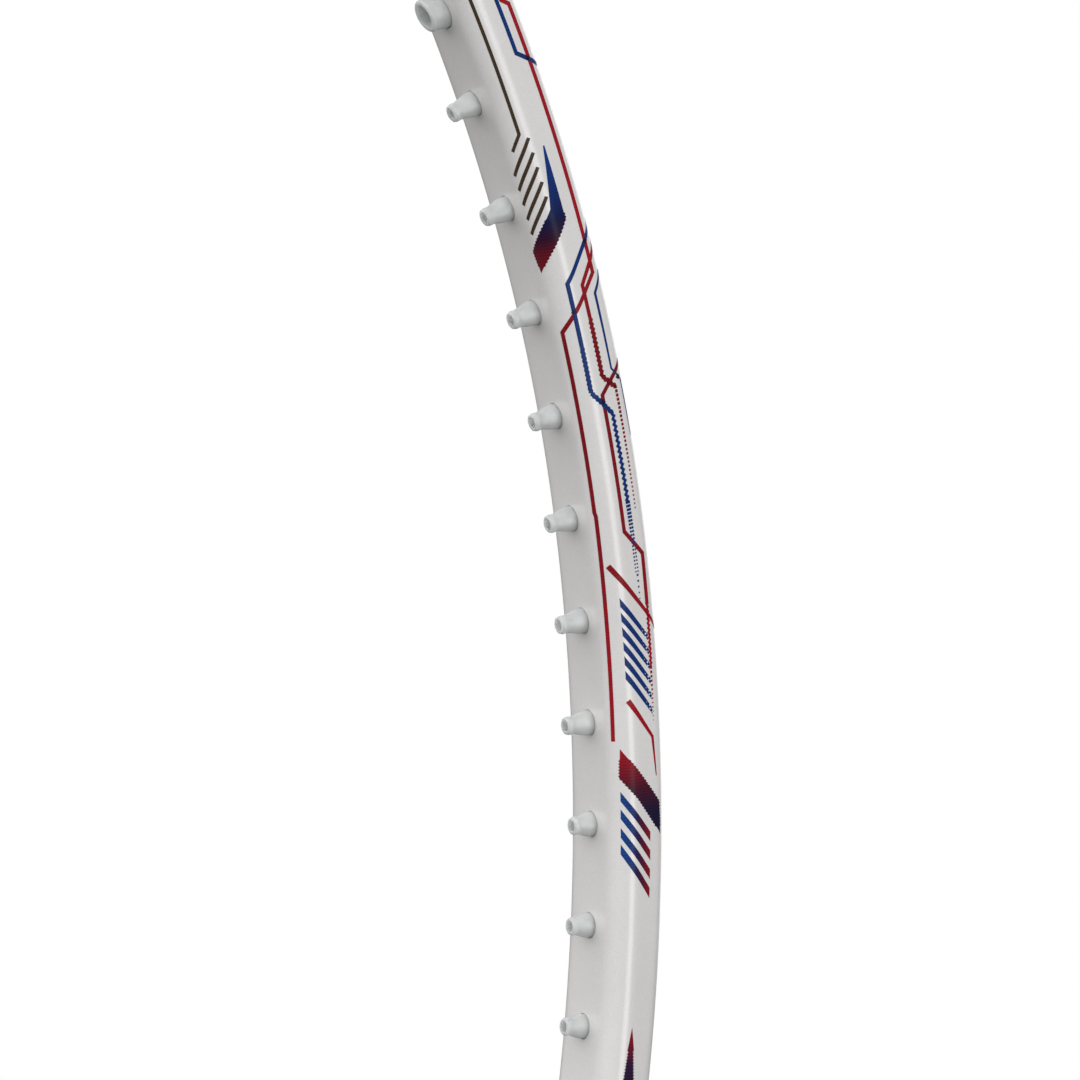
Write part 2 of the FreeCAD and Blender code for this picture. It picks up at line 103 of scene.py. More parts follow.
def pearl_lacquer(name, base, shade):
    """Pearl lacquer: a fine mica sparkle in the colour coat, under polished clear."""
    made, tree, shader = material(name, CLEARCOAT)
    place = node(tree, "ShaderNodeTexCoord").outputs["Object"]
    # Mica flakes are about 0.05 mm, drawn at 0.15 mm so that they show
    flakes = node(tree, "ShaderNodeTexVoronoi", {"Scale": 1 / (0.15 * MM)}, {"Vector": place})
    drift = node(tree, "ShaderNodeTexNoise", {"Scale": 1 / (9 * MM), "Detail": 3.0}, {"Vector": place})
    tone = ramp(tree, drift.outputs["Fac"], [(0.3, srgb(shade)), (0.7, srgb(base))])
    sparkle = ramp(tree, flakes.outputs["Color"], [(0.0, grey(0.93)), (1.0, grey(1.0))])
    colour = node(tree, "ShaderNodeMix", {"data_type": "RGBA", "blend_type": "MULTIPLY", 0: 1.0},
                  {6: tone, 7: sparkle})
    tree.links.new(colour.outputs[2], shader.inputs["Base Color"])
    # Orange peel of sprayed lacquer, waves about 1.5 mm long and a few thousandths deep
    peel = node(tree, "ShaderNodeTexNoise", {"Scale": 1 / (1.5 * MM), "Detail": 2.0}, {"Vector": place})
    bump = node(tree, "ShaderNodeBump", {"Strength": 0.12, "Distance": 0.02 * MM},
                {"Height": peel.outputs["Fac"]})
    tree.links.new(bump.outputs[0], shader.inputs["Normal"])
    tree.links.new(bump.outputs[0], shader.inputs["Coat Normal"])
    return made


WHITE = "#E9E7E6"
WHITE_SHADE = "#E4E2E1"


def printed_ink(name, stops, axis=0, fade=None):
    """Screen-printed ink under the clear coat, its colour run along the rim (axis 0) or round it (axis 1).

    stops are (millimetres, colour). With fade, (from, to) in millimetres round the rim, the ink breaks up
    into a halftone between those places, as the screen print does where it dies out.
    """
    made, tree, shader = material(name, INK_COAT)
    uv = node(tree, "ShaderNodeUVMap", {"uv_map": "print"}).outputs[0]
    parts = node(tree, "ShaderNodeSeparateXYZ", None, {0: uv})
    low, high = stops[0][0], stops[-1][0]
    along = node(tree, "ShaderNodeMapRange", {1: low, 2: high}, {0: parts.outputs[axis]})
    colour = ramp(tree, along.outputs[0], [((mm - low) / (high - low), srgb(c)) for mm, c in stops])
    # Ink is laid in fine rows across the rim, about 0.3 mm apart
    rows = node(tree, "ShaderNodeMath", {"operation": "SINE"},
                {0: node(tree, "ShaderNodeMath", {"operation": "MULTIPLY", 1: 2 * math.pi / 0.3},
                         {0: parts.outputs[0]}).outputs[0]})
    depth = ramp(tree, node(tree, "ShaderNodeMapRange", {1: -1.0, 2: 1.0}, {0: rows.outputs[0]}).outputs[0],
                 [(0.0, grey(0.62)), (0.7, grey(1.0))])
    inked = node(tree, "ShaderNodeMix", {"data_type": "RGBA", "blend_type": "MULTIPLY", 0: 1.0},
                 {6: colour, 7: depth}).outputs[2]
    if fade:
        # Halftone cells 0.34 mm apart, whose ink dots shrink as the print dies out
        cells = node(tree, "ShaderNodeTexVoronoi", {"voronoi_dimensions": "2D", "Scale": 1 / 0.34,
                                                    "Randomness": 0.0}, {"Vector": uv})
        dot = node(tree, "ShaderNodeMapRange", {1: fade[0], 2: fade[1], 3: 0.75, 4: 0.1},
                   {0: parts.outputs[1]})
        bare = node(tree, "ShaderNodeMath", {"operation": "GREATER_THAN"},
                    {0: cells.outputs["Distance"], 1: dot.outputs[0]})
        inked = node(tree, "ShaderNodeMix", {"data_type": "RGBA", 7: srgb(WHITE)},
                     {0: bare.outputs[0], 6: inked}).outputs[2]
    tree.links.new(inked, shader.inputs["Base Color"])
    return made


# ---- Mesh pieces ----

def piece(name, bm, finish, stands_for=(), sharp=35.0):
    """Makes a finished, smooth-shaded object from a bmesh, riding on the racket's one body."""
    mesh = bpy.data.meshes.new(name)
    bm.to_mesh(mesh)
    bm.free()
    for face in mesh.polygons:
        face.use_smooth = True
    mesh.set_sharp_from_angle(angle=math.radians(sharp))
    mesh.materials.append(finish)
    made = bpy.data.objects.new(name, mesh)
    bpy.context.scene.collection.objects.link(made)
    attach(made, "root")
    if stands_for:
        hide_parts(*stands_for)
    return made


# How many times larger a face is than its neighbour for it to count as a broad flat
BROAD = 20


def smoothed_copy(source, name, finish, sharp=30.0):
    """A CAD node's own shape with its loose triangles merged, so that it shades smoothly.

    Where a broad flat face meets a narrow rounded one, the edge is kept, so that the flat face stays flat.
    """
    bm = bmesh.new()
    bm.from_mesh(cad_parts[source].data)
    bmesh.ops.remove_doubles(bm, verts=bm.verts, dist=0.002 * MM)
    bmesh.ops.dissolve_degenerate(bm, dist=0.001 * MM, edges=bm.edges)
    bmesh.ops.dissolve_limit(bm, angle_limit=math.radians(0.3), verts=bm.verts, edges=bm.edges)
    bm.edges.index_update()
    kept = []
    for edge in bm.edges:
        areas = sorted(face.calc_area() for face in edge.link_faces)
        if len(areas) == 2 and areas[1] > BROAD * areas[0] and edge.calc_face_angle(0) > math.radians(2):
            kept.append(edge.index)
    made = piece(name, bm, finish, [source], sharp)
    for i in kept:
        made.data.edges[i].use_edge_sharp = True
    return made


# ---- Head outline, as the part is built ----

OVERALL_LENGTH, HEAD_WIDTH = 675.0, 198.0
FRAME_WIDTH, DEPTH_INSIDE, DEPTH_OUTSIDE = 5.6, 10.6, 8.8
INSIDE_RADIUS, OUTSIDE_RADIUS = 2.2, 1.3
GROOVE_WIDTH, GROOVE_FLOOR_WIDTH, GROOVE_DEPTH = 5.0, 4.7, 1.0
GROOVE_LIP_RADIUS, GROOVE_FLOOR_RADIUS = 0.2, 0.15
SIDE_RADIUS = 212.0
UPPER_RADII, UPPER_ANGLES = (187.0, 56.3), (9.5, 28.0, 62.0)
LOWER_RADII, LOWER_ANGLES = (140.0, 70.0), (8.13, 30.0, 60.0)
HALF = FRAME_WIDTH / 2


def unit(angle):
    """Outward normal in the string plane, at an angle in degrees from +X."""
    return Vector((math.cos(math.radians(angle)), 0, math.sin(math.radians(angle))))


class Bend:
    """One circular stretch of the head's right half, on the middle of the rim."""

    def __init__(self, radius, centre, low, high):
        self.radius, self.centre, self.low, self.high = radius, centre, low, high

    def point(self, angle):
        return self.centre + unit(angle) * self.radius


def tangent_bends(first, radii, angles, sign):
    """Bends tangent to one another, up to the crown (sign 1) or down to the throat (sign -1)."""
    bends, last, limits = [], first, list(angles) + [90.0]
    for i, limit in enumerate(limits[1:]):
        start = sign * limits[i]
        joint = last.point(start)
        radius = radii[i] if i < len(radii) else joint.x / math.cos(math.radians(start))
        last = Bend(radius, joint - unit(start) * radius, *sorted((start, sign * limit)))
        bends.append(last)
    return bends


side_centre = Vector((HEAD_WIDTH / 2 - HALF - SIDE_RADIUS, 0, 0))
side = Bend(SIDE_RADIUS, side_centre, -LOWER_ANGLES[0], UPPER_ANGLES[0])
bends = (tangent_bends(side, UPPER_RADII, UPPER_ANGLES, 1)[::-1] + [side]
         + tangent_bends(side, LOWER_RADII, LOWER_ANGLES, -1))
lift = OVERALL_LENGTH - HALF - bends[0].point(90).z
for bend in bends:
    bend.centre.z += lift
throat = bends[-1]
WIDEST_Z = side.centre.z


def walk_rim(along):
    """Normal angle and bend at a distance along the rim, up from the widest point of the right side."""
    ordered = bends[3::-1] if along >= 0 else bends[3:]
    left = abs(along)
    for bend in ordered:
        start = 0.0 if bend is side else (bend.low if along >= 0 else bend.high)
        end = bend.high if along >= 0 else bend.low
        span = math.radians(abs(end - start)) * bend.radius
        if left <= span or bend is ordered[-1]:
            return start + math.copysign(math.degrees(left / bend.radius), along), bend
        left -= span


def rim_height(angle):
    """Distance along the rim from the widest point to a normal angle of the upper right quarter."""
    total = 0.0
    for bend in bends[3::-1]:
        start = max(bend.low, 0.0)
        total += math.radians(max(min(angle, bend.high) - start, 0.0)) * bend.radius
    return total


# ---- Rim section ----

def rim_section(bm, grooved):
    """Closed outline of the rim's section, with +X outwards and its depth along Y, in millimetres."""
    inner, outer = DEPTH_INSIDE / 2, DEPTH_OUTSIDE / 2
    lip, floor = GROOVE_WIDTH / 2, GROOVE_FLOOR_WIDTH / 2
    corners = [(-HALF, -inner), (HALF, -outer)]
    if grooved:
        corners += [(HALF, -lip), (HALF - GROOVE_DEPTH, -floor), (HALF - GROOVE_DEPTH, floor), (HALF, lip)]
    corners += [(HALF, outer), (-HALF, inner)]
    verts = [bm.verts.new((x, y, 0)) for x, y in corners]
    bm.faces.new(verts)

    def rounded(chosen, radius, segments):
        """Rounds corners to a radius: a bevel's offset is the setback along the edges."""
        for vert in chosen:
            a, b = (edge.other_vert(vert).co - vert.co for edge in vert.link_edges)
            setback = radius / math.tan(a.angle(b) / 2)
            bmesh.ops.bevel(bm, geom=[vert], offset=setback, segments=segments, profile=0.5,
                            affect="VERTICES", material=-1)

    rounded([verts[0], verts[-1]], INSIDE_RADIUS, 12)
    rounded([verts[1], verts[-2]], OUTSIDE_RADIUS, 7)
    if grooved:
        rounded([verts[2], verts[5]], GROOVE_LIP_RADIUS, 3)
        rounded([verts[3], verts[4]], GROOVE_FLOOR_RADIUS, 2)
    bmesh.ops.delete(bm, geom=bm.faces[:], context="FACES_ONLY")
    # Flats are cut up so that their shading stays flat next to the round corners
    flats = [edge for edge in bm.edges if edge.calc_length() > 1.2]
    bmesh.ops.subdivide_edges(bm, edges=flats, cuts=7)
    return bm.edges[:]


def sweep_rim(bm, grooved, stretches, step=1.3):
    """Sweeps the rim's section round (centre, radius, from angle, to angle) stretches in turn."""
    edges = rim_section(bm, grooved)
    verts = list({v for e in edges for v in e.verts})
    centre, radius, start, _ = stretches[0]
    turn = Matrix.Translation(centre) @ Matrix.Rotation(math.radians(-start), 4, "Y") \
        @ Matrix.Translation((radius, 0, 0))
    bmesh.ops.transform(bm, matrix=turn, verts=verts)
    first = edges
    for centre, radius, start, end in stretches:
        steps = max(2, round(math.radians(abs(end - start)) * radius / step))
        spun = bmesh.ops.spin(bm, geom=verts + edges, cent=centre, axis=(0, -1, 0), dvec=(0, 0, 0),
                              angle=math.radians(end - start), steps=steps, use_duplicate=False)
        edges = [e for e in spun["geom_last"] if isinstance(e, bmesh.types.BMEdge)]
        verts = [v for v in spun["geom_last"] if isinstance(v, bmesh.types.BMVert)]
    for loop in (first, edges):
        bmesh.ops.edgeloop_fill(bm, edges=loop)
    bmesh.ops.recalc_face_normals(bm, faces=bm.faces)
    bmesh.ops.scale(bm, vec=(MM, MM, MM), verts=bm.verts)


def mirror_x(point):
    return Vector((-point.x, point.y, point.z))


BLOCK_HALF_WIDTH = 12.0
PLAIN_HALF_WIDTH = 6.2
JOINT_LINE = 0.03


def throat_angle(x):
    """Degrees from the throat's lowest point to where the rim's middle is this far from the axis."""
    return math.degrees(math.asin(x / throat.radius))


def head_stretches():
    """Every stretch of the head tube, from its right end at the throat round to its left end."""
    start = -90 + throat_angle(BLOCK_HALF_WIDTH + JOINT_LINE)
    right = [(b.centre, b.radius, max(b.low, start), b.high) for b in bends[:0:-1]]
    crown = (bends[0].centre, bends[0].radius, bends[0].low, 180 - bends[0].low)
    left = [(mirror_x(b.centre), b.radius, 180 - b.high, 180 - max(b.low, start)) for b in bends[1:]]
    return right + [crown] + left


# ---- String holes and grommets ----

def angle_at_height(z):
    for bend in bends:
        if bend.point(bend.low).z <= z <= bend.point(bend.high).z:
            return math.degrees(math.asin((z - bend.centre.z) / bend.radius)), bend


def angle_at_x(x, upper):
    for bend in bends if upper else bends[::-1]:
        a, b = sorted((bend.point(bend.low).x, bend.point(bend.high).x))
        if a <= x <= b:
            angle = math.degrees(math.acos((x - bend.centre.x) / bend.radius))
            return (angle if upper else -angle), bend


def between(first, last, count):
    """Evenly spaced places along the rim between two holes of the right side."""
    def along(angle):
        if angle >= 0:
            return rim_height(angle)
        total = 0.0
        for bend in bends[3:]:
            end = min(bend.high, 0.0)
            total -= math.radians(max(end - max(angle, bend.low), 0.0)) * bend.radius
        return total
    a, b = along(first), along(last)
    return [walk_rim(a + (b - a) * (i + 1) / (count + 1)) for i in range(count)]


# Holes of the right side, spaced as on the part
CROWN_HOLES, CROWN_PITCH = 8, 6.8
SIDE_HOLES, SIDE_PITCH, FIRST_SIDE_HOLE_ABOVE_WIDEST, LONG_GROMMETS = 16, 9.88, 78.29, 7
THROAT_HOLES, THROAT_PITCH, THROAT_FIRST_HOLE_X = 8, 6.2, 8.6
CORNER_HOLES = 4

top_side_hole = WIDEST_Z + FIRST_SIDE_HOLE_ABOVE_WIDEST
crown_holes = [angle_at_x(CROWN_PITCH * (i + 0.5), True) for i in range(CROWN_HOLES)]
side_holes = [angle_at_height(top_side_hole - SIDE_PITCH * i) for i in range(SIDE_HOLES)]
throat_holes = [angle_at_x(THROAT_FIRST_HOLE_X + THROAT_PITCH * i, False) for i in range(THROAT_HOLES)][::-1]
HOLES = {
    "crown": crown_holes,
    "upper_corner": between(crown_holes[-1][0], side_holes[0][0], CORNER_HOLES),
    "upper_side": side_holes[:LONG_GROMMETS],
    "lower_side": side_holes[LONG_GROMMETS:],
    "lower_corner": between(side_holes[-1][0], throat_holes[0][0], CORNER_HOLES),
    "throat": throat_holes,
}


def placings(holes):
    """Matrices that put a shape drawn along +Z at each hole of the right side, +Z outwards."""
    made = []
    for angle, bend in holes:
        turn = Matrix.Rotation(math.radians(90 - angle), 4, "Y")
        made.append(Matrix.Translation(bend.point(angle) * MM) @ turn @ Matrix.Scale(MM, 4))
    return made


def turned(bm, profile, steps):
    """Turns a profile of (radius, z) about Z. A profile that starts off the axis is closed first."""
    verts = [bm.verts.new((r, 0, z)) for r, z in profile]
    edges = [bm.edges.new(pair) for pair in zip(verts, verts[1:])]
    if len(profile) > 2 and profile[0][0] > 0:
        edges.append(bm.edges.new((verts[-1], verts[0])))
    bmesh.ops.spin(bm, geom=verts + edges, cent=(0, 0, 0), axis=(0, 0, 1), dvec=(0, 0, 0),
                   angle=2 * math.pi, steps=steps, use_merge=True)


SINGLE_SEAT, SHARED_SEAT = 1.2, 1.94
# How much a drilled hole opens out where it leaves the inner face
HOLE_FLARE = 0.05


def string_holes():
    """Drills for every hole, slightly flared where they leave the inner face, as lacquer rounds a hole."""
    bm = bmesh.new()
    for group, holes in HOLES.items():
        r = SHARED_SEAT if group.endswith("corner") else SINGLE_SEAT
        for place in placings(holes):
            for side_matrix in (place, Matrix.Scale(-1, 4, (1, 0, 0)) @ place):
                drill = bmesh.new()
                turned(drill, [(0, HALF + 1), (r, HALF + 1), (r, 0.3 - HALF), (r + HOLE_FLARE, -HALF - 0.02),
                               (r + HOLE_FLARE, -HALF - 1), (0, -HALF - 1)], 32)
                bmesh.ops.remove_doubles(drill, verts=drill.verts, dist=1e-4)
                bmesh.ops.transform(drill, matrix=side_matrix, verts=drill.verts)
                bmesh.ops.recalc_face_normals(drill, faces=drill.faces)
                drilled = bpy.data.meshes.new("drill")
                drill.to_mesh(drilled)
                drill.free()
                bm.from_mesh(drilled)
                bpy.data.meshes.remove(drilled)
    mesh = bpy.data.meshes.new("drills")
    bm.to_mesh(mesh)
    bm.free()
    made = bpy.data.objects.new("drills", mesh)
    bpy.context.scene.collection.objects.link(made)
    return made


def drill_through(target, drills):
    """Cuts the drills out of a piece and keeps the result as its mesh."""
    cut = target.modifiers.new("string holes", "BOOLEAN")
    cut.operation, cut.solver, cut.object = "DIFFERENCE", "EXACT", drills
    shape = bpy.data.meshes.new_from_object(target.evaluated_get(bpy.context.evaluated_depsgraph_get()))
    target.modifiers.clear()
    finish = list(target.data.materials)
    target.data = shape
    shape.materials.clear()
    for entry in finish:
        shape.materials.append(entry)
    for face in shape.polygons:
        face.use_smooth = True
        face.material_index = 0
    shape.set_sharp_from_angle(angle=math.radians(35))


white_lacquer = pearl_lacquer("pearl white lacquer", WHITE, WHITE_SHADE)

head = bmesh.new()
sweep_rim(head, True, head_stretches())
head_tube = piece("head_tube", head, white_lacquer, ["head_frame"])

block = bmesh.new()
a, b = throat_angle(BLOCK_HALF_WIDTH), throat_angle(PLAIN_HALF_WIDTH)
for grooved, start, end in ((True, -90 - a, -90 - b), (False, -90 - b, -90 + b), (True, -90 + b, -90 + a)):
    part = bmesh.new()
    sweep_rim(part, grooved, [(throat.centre, throat.radius, start, end)])
    swept = bpy.data.meshes.new("swept")
    part.to_mesh(swept)
    part.free()
    block.from_mesh(swept)
    bpy.data.meshes.remove(swept)
throat_block = piece("throat_block", block, white_lacquer, ["t_joint"])

drills = string_holes()
drill_through(head_tube, drills)
drill_through(throat_block, drills)
bpy.data.objects.remove(drills)


# ---- Grommets ----

nylon, tree, shader = material("milky nylon", {
    "Roughness": 0.24, "IOR": 1.53, "Transmission Weight": 0.15, "Subsurface Weight": 1.0,
    "Subsurface Radius": (1.0, 1.0, 1.0), "Subsurface Scale": 1.4 * MM})
# Milky nylon lets light through its thin walls; its flow from the gate leaves clouds about 1.5 mm across
place = node(tree, "ShaderNodeTexCoord").outputs["Object"]
clouds = node(tree, "ShaderNodeTexNoise", {"Scale": 1 / (1.5 * MM), "Detail": 2.0}, {"Vector": place})
tree.links.new(ramp(tree, clouds.outputs["Fac"], [(0.3, srgb("#CDD1D1")), (0.7, srgb("#DCDFDE"))]),
               shader.inputs["Base Color"])
wavy = node(tree, "ShaderNodeBump", {"Strength": 0.25, "Distance": 0.03 * MM},
            {"Height": clouds.outputs["Fac"]})
tree.links.new(wavy.outputs[0], shader.inputs["Normal"])


# A flange sits this far off the groove's floor
FLANGE_THICK, SEAT_GAP = 0.75, 0.02


def grommet_profile(barrel, tip, bore, flange, exposed):
    """Half section of a moulded grommet: flange in the groove, barrel through the walls, waisted tip."""
    seat = HALF - GROOVE_DEPTH + SEAT_GAP
    top = seat + FLANGE_THICK
    wall, end = -HALF, -HALF - exposed
    waist = tip - 0.03
    return [
        (bore, end + 0.06), (bore, top), (flange - 0.3, top), (flange - 0.09, top - 0.09),
        (flange, top - 0.3), (flange, seat), (barrel, seat), (barrel, wall),
        (barrel * 0.99, wall - exposed * 0.1), (barrel * 0.96, wall - exposed * 0.22),
        (barrel * 0.88 + waist * 0.04, wall - exposed * 0.34),
        (barrel * 0.62 + waist * 0.33, wall - exposed * 0.45),
        (barrel * 0.3 + waist * 0.69, wall - exposed * 0.56), (waist + 0.02, wall - exposed * 0.68),
        (waist, wall - exposed * 0.76), (tip, wall - exposed * 0.81), (tip, wall - exposed * 0.88),
        (tip - 0.08, end + 0.08), (tip - 0.2, end), (bore + 0.09, end),
    ]


# Radii of barrel, tip, bore and flange, for one string and for two
SINGLE = (1.2, 0.87, 0.5, 1.85)
SHARED = (1.9, 1.6, 1.05, 2.15)
# How far a barrel stands inside the rim
LONG_BARREL, SHORT_BARREL, SHARED_BARREL = 2.62, 2.15, 1.7
for group, holes in HOLES.items():
    sizes, exposed = SINGLE, LONG_BARREL if group == "upper_side" else SHORT_BARREL
    if group.endswith("corner"):
        sizes, exposed = SHARED, SHARED_BARREL
    one = bmesh.new()
    turned(one, grommet_profile(*sizes, exposed), 32)
    bmesh.ops.remove_doubles(one, verts=one.verts, dist=1e-4)
    shape = bpy.data.meshes.new("grommet")
    one.to_mesh(shape)
    one.free()
    for hand, flip in (("right", Matrix.Identity(4)), ("left", Matrix.Scale(-1, 4, (1, 0, 0)))):
        bm = bmesh.new()
        for place in placings(holes):
            copy = shape.copy()
            copy.transform(flip @ place)
            bm.from_mesh(copy)
            bpy.data.meshes.remove(copy)
        bmesh.ops.recalc_face_normals(bm, faces=bm.faces)
        piece(f"nylon_grommets_{group}_{hand}", bm, nylon, [f"grommets_{group}_{hand}"], 40)
    bpy.data.meshes.remove(shape)


# ---- Painted lines and bands ----

INK_PROUD = 0.02

skin = bmesh.new()
for solid in (head_tube, throat_block):
    skin.from_mesh(solid.data)
skin_tree = BVHTree.FromBMesh(skin)
skin.free()


def section_skin(girth):
    """Radial place, depth and outward normal on the section's front half at a distance round it."""
    inner, outer = Vector((-HALF, DEPTH_INSIDE / 2)), Vector((HALF, DEPTH_OUTSIDE / 2))
    slope = (outer - inner).normalized()
    lean = math.atan2(-slope.y, slope.x)
    inner_turn, outer_turn = math.pi / 2 + lean, math.pi / 2 - lean
    inner_set = INSIDE_RADIUS * math.tan(inner_turn / 2)
    outer_set = OUTSIDE_RADIUS * math.tan(outer_turn / 2)
    lengths = [inner.y - inner_set, INSIDE_RADIUS * inner_turn,
               (outer - inner).length - inner_set - outer_set, OUTSIDE_RADIUS * outer_turn]
    if girth <= lengths[0]:
        return -HALF, girth, (-1.0, 0.0)
    girth -= lengths[0]
    if girth <= lengths[1]:
        t = girth / INSIDE_RADIUS
        n = (-math.cos(t), math.sin(t))
        return -HALF + INSIDE_RADIUS + n[0] * INSIDE_RADIUS, inner.y - inner_set + n[1] * INSIDE_RADIUS, n
    girth -= lengths[1]
    n = (math.sin(lean), math.cos(lean))
    if girth <= lengths[2]:
        at = inner + slope * (inner_set + girth)
        return at.x, at.y, n
    girth -= lengths[2]
    if girth <= lengths[3]:
        t = math.pi / 2 - lean - girth / OUTSIDE_RADIUS
        n = (math.cos(t), math.sin(t))
        return HALF - OUTSIDE_RADIUS + n[0] * OUTSIDE_RADIUS, outer.y - outer_set + n[1] * OUTSIDE_RADIUS, n
    girth -= lengths[3]
    return HALF, outer.y - outer_set - girth, (1.0, 0.0)


def skin_point(along, round_it, side_sign, face_sign):
    """Point on the rim's skin, and the way out of it: along the rim from the widest point, and round the
    section from the middle of the inner face, in millimetres."""
    angle, bend = walk_rim(along)
    radial, depth, _ = section_skin(round_it)
    place = bend.centre + unit(angle) * (bend.radius + radial)
    aimed_at = Vector((place.x * side_sign, -depth * face_sign, place.z))
    found, normal, _, _ = skin_tree.find_nearest(aimed_at * MM)
    return found, normal


def line_shape(bm, path, width, taper=(1.0, 1.0)):
    """Flat line of a width along a path of points, mitred at its bends, tapering to shares of its width."""
    points = [Vector((x, y, 0)) for x, y in path]
    rows = []
    total = sum((b - a).length for a, b in zip(points, points[1:]))
    run = 0.0
    for i, point in enumerate(points):
        if i:
            run += (point - points[i - 1]).length
        before = (point - points[i - 1]).normalized() if i else None
        after = (points[i + 1] - point).normalized() if i + 1 < len(points) else None
        before, after = before or after, after or before
        across = Vector((-(before + after).y, (before + after).x, 0)).normalized()
        stretch = 1 / max(across.dot(Vector((-after.y, after.x, 0))), 0.6)
        share = taper[0] + (taper[1] - taper[0]) * run / total
        half = width / 2 * stretch * share
        rows.append((bm.verts.new(point - across * half), bm.verts.new(point + across * half)))
    for (a, b), (c, d) in zip(rows, rows[1:]):
        bm.faces.new((a, b, d, c))


def bar(bm, start, end, width, last=1.0):
    """Slanted bar of a width, cut off along the rim at both ends, tapering to a share of its width."""
    a, b = Vector(start), Vector(end)
    half = Vector((width / 2 * (b - a).length / abs(b.y - a.y), 0))
    area_shape(bm, [a + half, a - half, b - half * last, b + half * last])


def area_shape(bm, corners):
    """Flat painted area from its corners."""
    bm.faces.new([bm.verts.new((x, y, 0)) for x, y in corners])


def saw_line(bm, start, end, width, tooth=0.22, size=0.07):
    """Line whose edges step from side to side, where a screen print breaks up."""
    a, b = Vector((*start, 0)), Vector((*end, 0))
    run = (b - a).normalized()
    across = Vector((-run.y, run.x, 0))
    count = int((b - a).length / tooth)
    teeth = [(a + (b - a) * i / count + across * size * (-1) ** i).xy for i in range(count + 1)]
    line_shape(bm, teeth, width)


def dot_line(bm, start, end, size, pitch=0.36, last=0.5):
    """Row of square dots that shrink towards a share of their size."""
    a, b = Vector((*start, 0)), Vector((*end, 0))
    count = int((b - a).length / pitch)
    for i in range(count):
        spot, half = a + (b - a) * i / count, size / 2 * (1 + (last - 1) * i / count)
        made = bmesh.ops.create_grid(bm, x_segments=1, y_segments=1, size=half)
        bmesh.ops.translate(bm, vec=spot, verts=made["verts"])


def cut_up(bm, pitch):
    """Cuts a flat shape along evenly spaced lines both ways, so that it can bend to the rim."""
    for axis in (0, 1):
        low = min(v.co[axis] for v in bm.verts)
        high = max(v.co[axis] for v in bm.verts)
        normal = Vector((1, 0, 0)) if axis == 0 else Vector((0, 1, 0))
        place = math.ceil(low / pitch[axis]) * pitch[axis]
        while place < high:
            bmesh.ops.bisect_plane(bm, geom=bm.verts[:] + bm.edges[:] + bm.faces[:], dist=1e-5,
                                   plane_co=normal * place, plane_no=normal)
            place += pitch[axis]


def serrate(bm, low, high, pitch=0.3, size=0.15):
    """Steps the sides of a flat shape in and out, row by row, between two places along the rim."""
    for i in range(int((high - low) / pitch * 2) + 1):
        bmesh.ops.bisect_plane(bm, geom=bm.verts[:] + bm.edges[:] + bm.faces[:], dist=1e-5,
                               plane_co=(low + i * pitch / 2, 0, 0), plane_no=(1, 0, 0))
    for v in bm.verts:
        row = round((v.co.x - low) / pitch * 2)
        if v.is_boundary and low + 0.05 < v.co.x < high - 0.05 and row % 2:
            neighbours = [e.other_vert(v).co for e in v.link_edges]
            same_row = [near.y for near in neighbours if abs(near.x - v.co.x) < 1e-4]
            if same_row:
                v.co.y += math.copysign(size, v.co.y - sum(same_row))


FRONT_EDGE, BACK_EDGE, BACK_SHARE = 2.8, 4.5, 0.78

# Quarters of the head as (side, face): side 1 is the right and -1 the left, face 1 the front and -1 the back
QUARTERS = ((1, 1), (-1, 1), (1, -1), (-1, -1))


def print_on_rim(name, draw, finish, proud=INK_PROUD):
    """Paints a flat drawing, in millimetres along and round the rim, on every quarter of the head."""
    flat = bmesh.new()
    draw(flat)
    bmesh.ops.remove_doubles(flat, verts=flat.verts, dist=1e-4)
    cut_up(flat, (1.5, 0.3))
    bmesh.ops.recalc_face_normals(flat, faces=flat.faces)
    uv = flat.loops.layers.uv.new("print")
    for face in flat.faces:
        for loop in face.loops:
            loop[uv].uv = loop.vert.co.xy
    drawn = bpy.data.meshes.new("drawn")
    flat.to_mesh(drawn)
    flat.free()
    bm = bmesh.new()
    for side_sign, face_sign in QUARTERS:
        layer = bmesh.new()
        layer.from_mesh(drawn)
        outward = {}
        for v in layer.verts:
            # The back's prints keep off the inner corner, so they are drawn narrower
            round_it = v.co.y if face_sign > 0 else BACK_EDGE + (v.co.y - FRONT_EDGE) * BACK_SHARE
            v.co, outward[v] = skin_point(v.co.x, round_it, side_sign, face_sign)
        layer.normal_update()
        for face in layer.faces:
            if face.normal.dot(outward[face.verts[0]]) < 0:
                face.normal_flip()
        # The ink film: a thin solid, sunk a little into the skin and standing a little proud of it
        for v in layer.verts:
            v.co += outward[v] * proud * MM
        bmesh.ops.solidify(layer, geom=layer.faces[:], thickness=proud * 2 * MM)
        wrapped = bpy.data.meshes.new("wrapped")
        layer.to_mesh(wrapped)
        layer.free()
        bm.from_mesh(wrapped)
        bpy.data.meshes.remove(wrapped)
    bpy.data.meshes.remove(drawn)
    return piece(name, bm, finish, (), 50)


RED, DEEP_RED = "#A50D20", "#7C0B18"
BLUE, NAVY = "#083278", "#0C1036"
BRONZE = "#463728"
LINE = 0.41

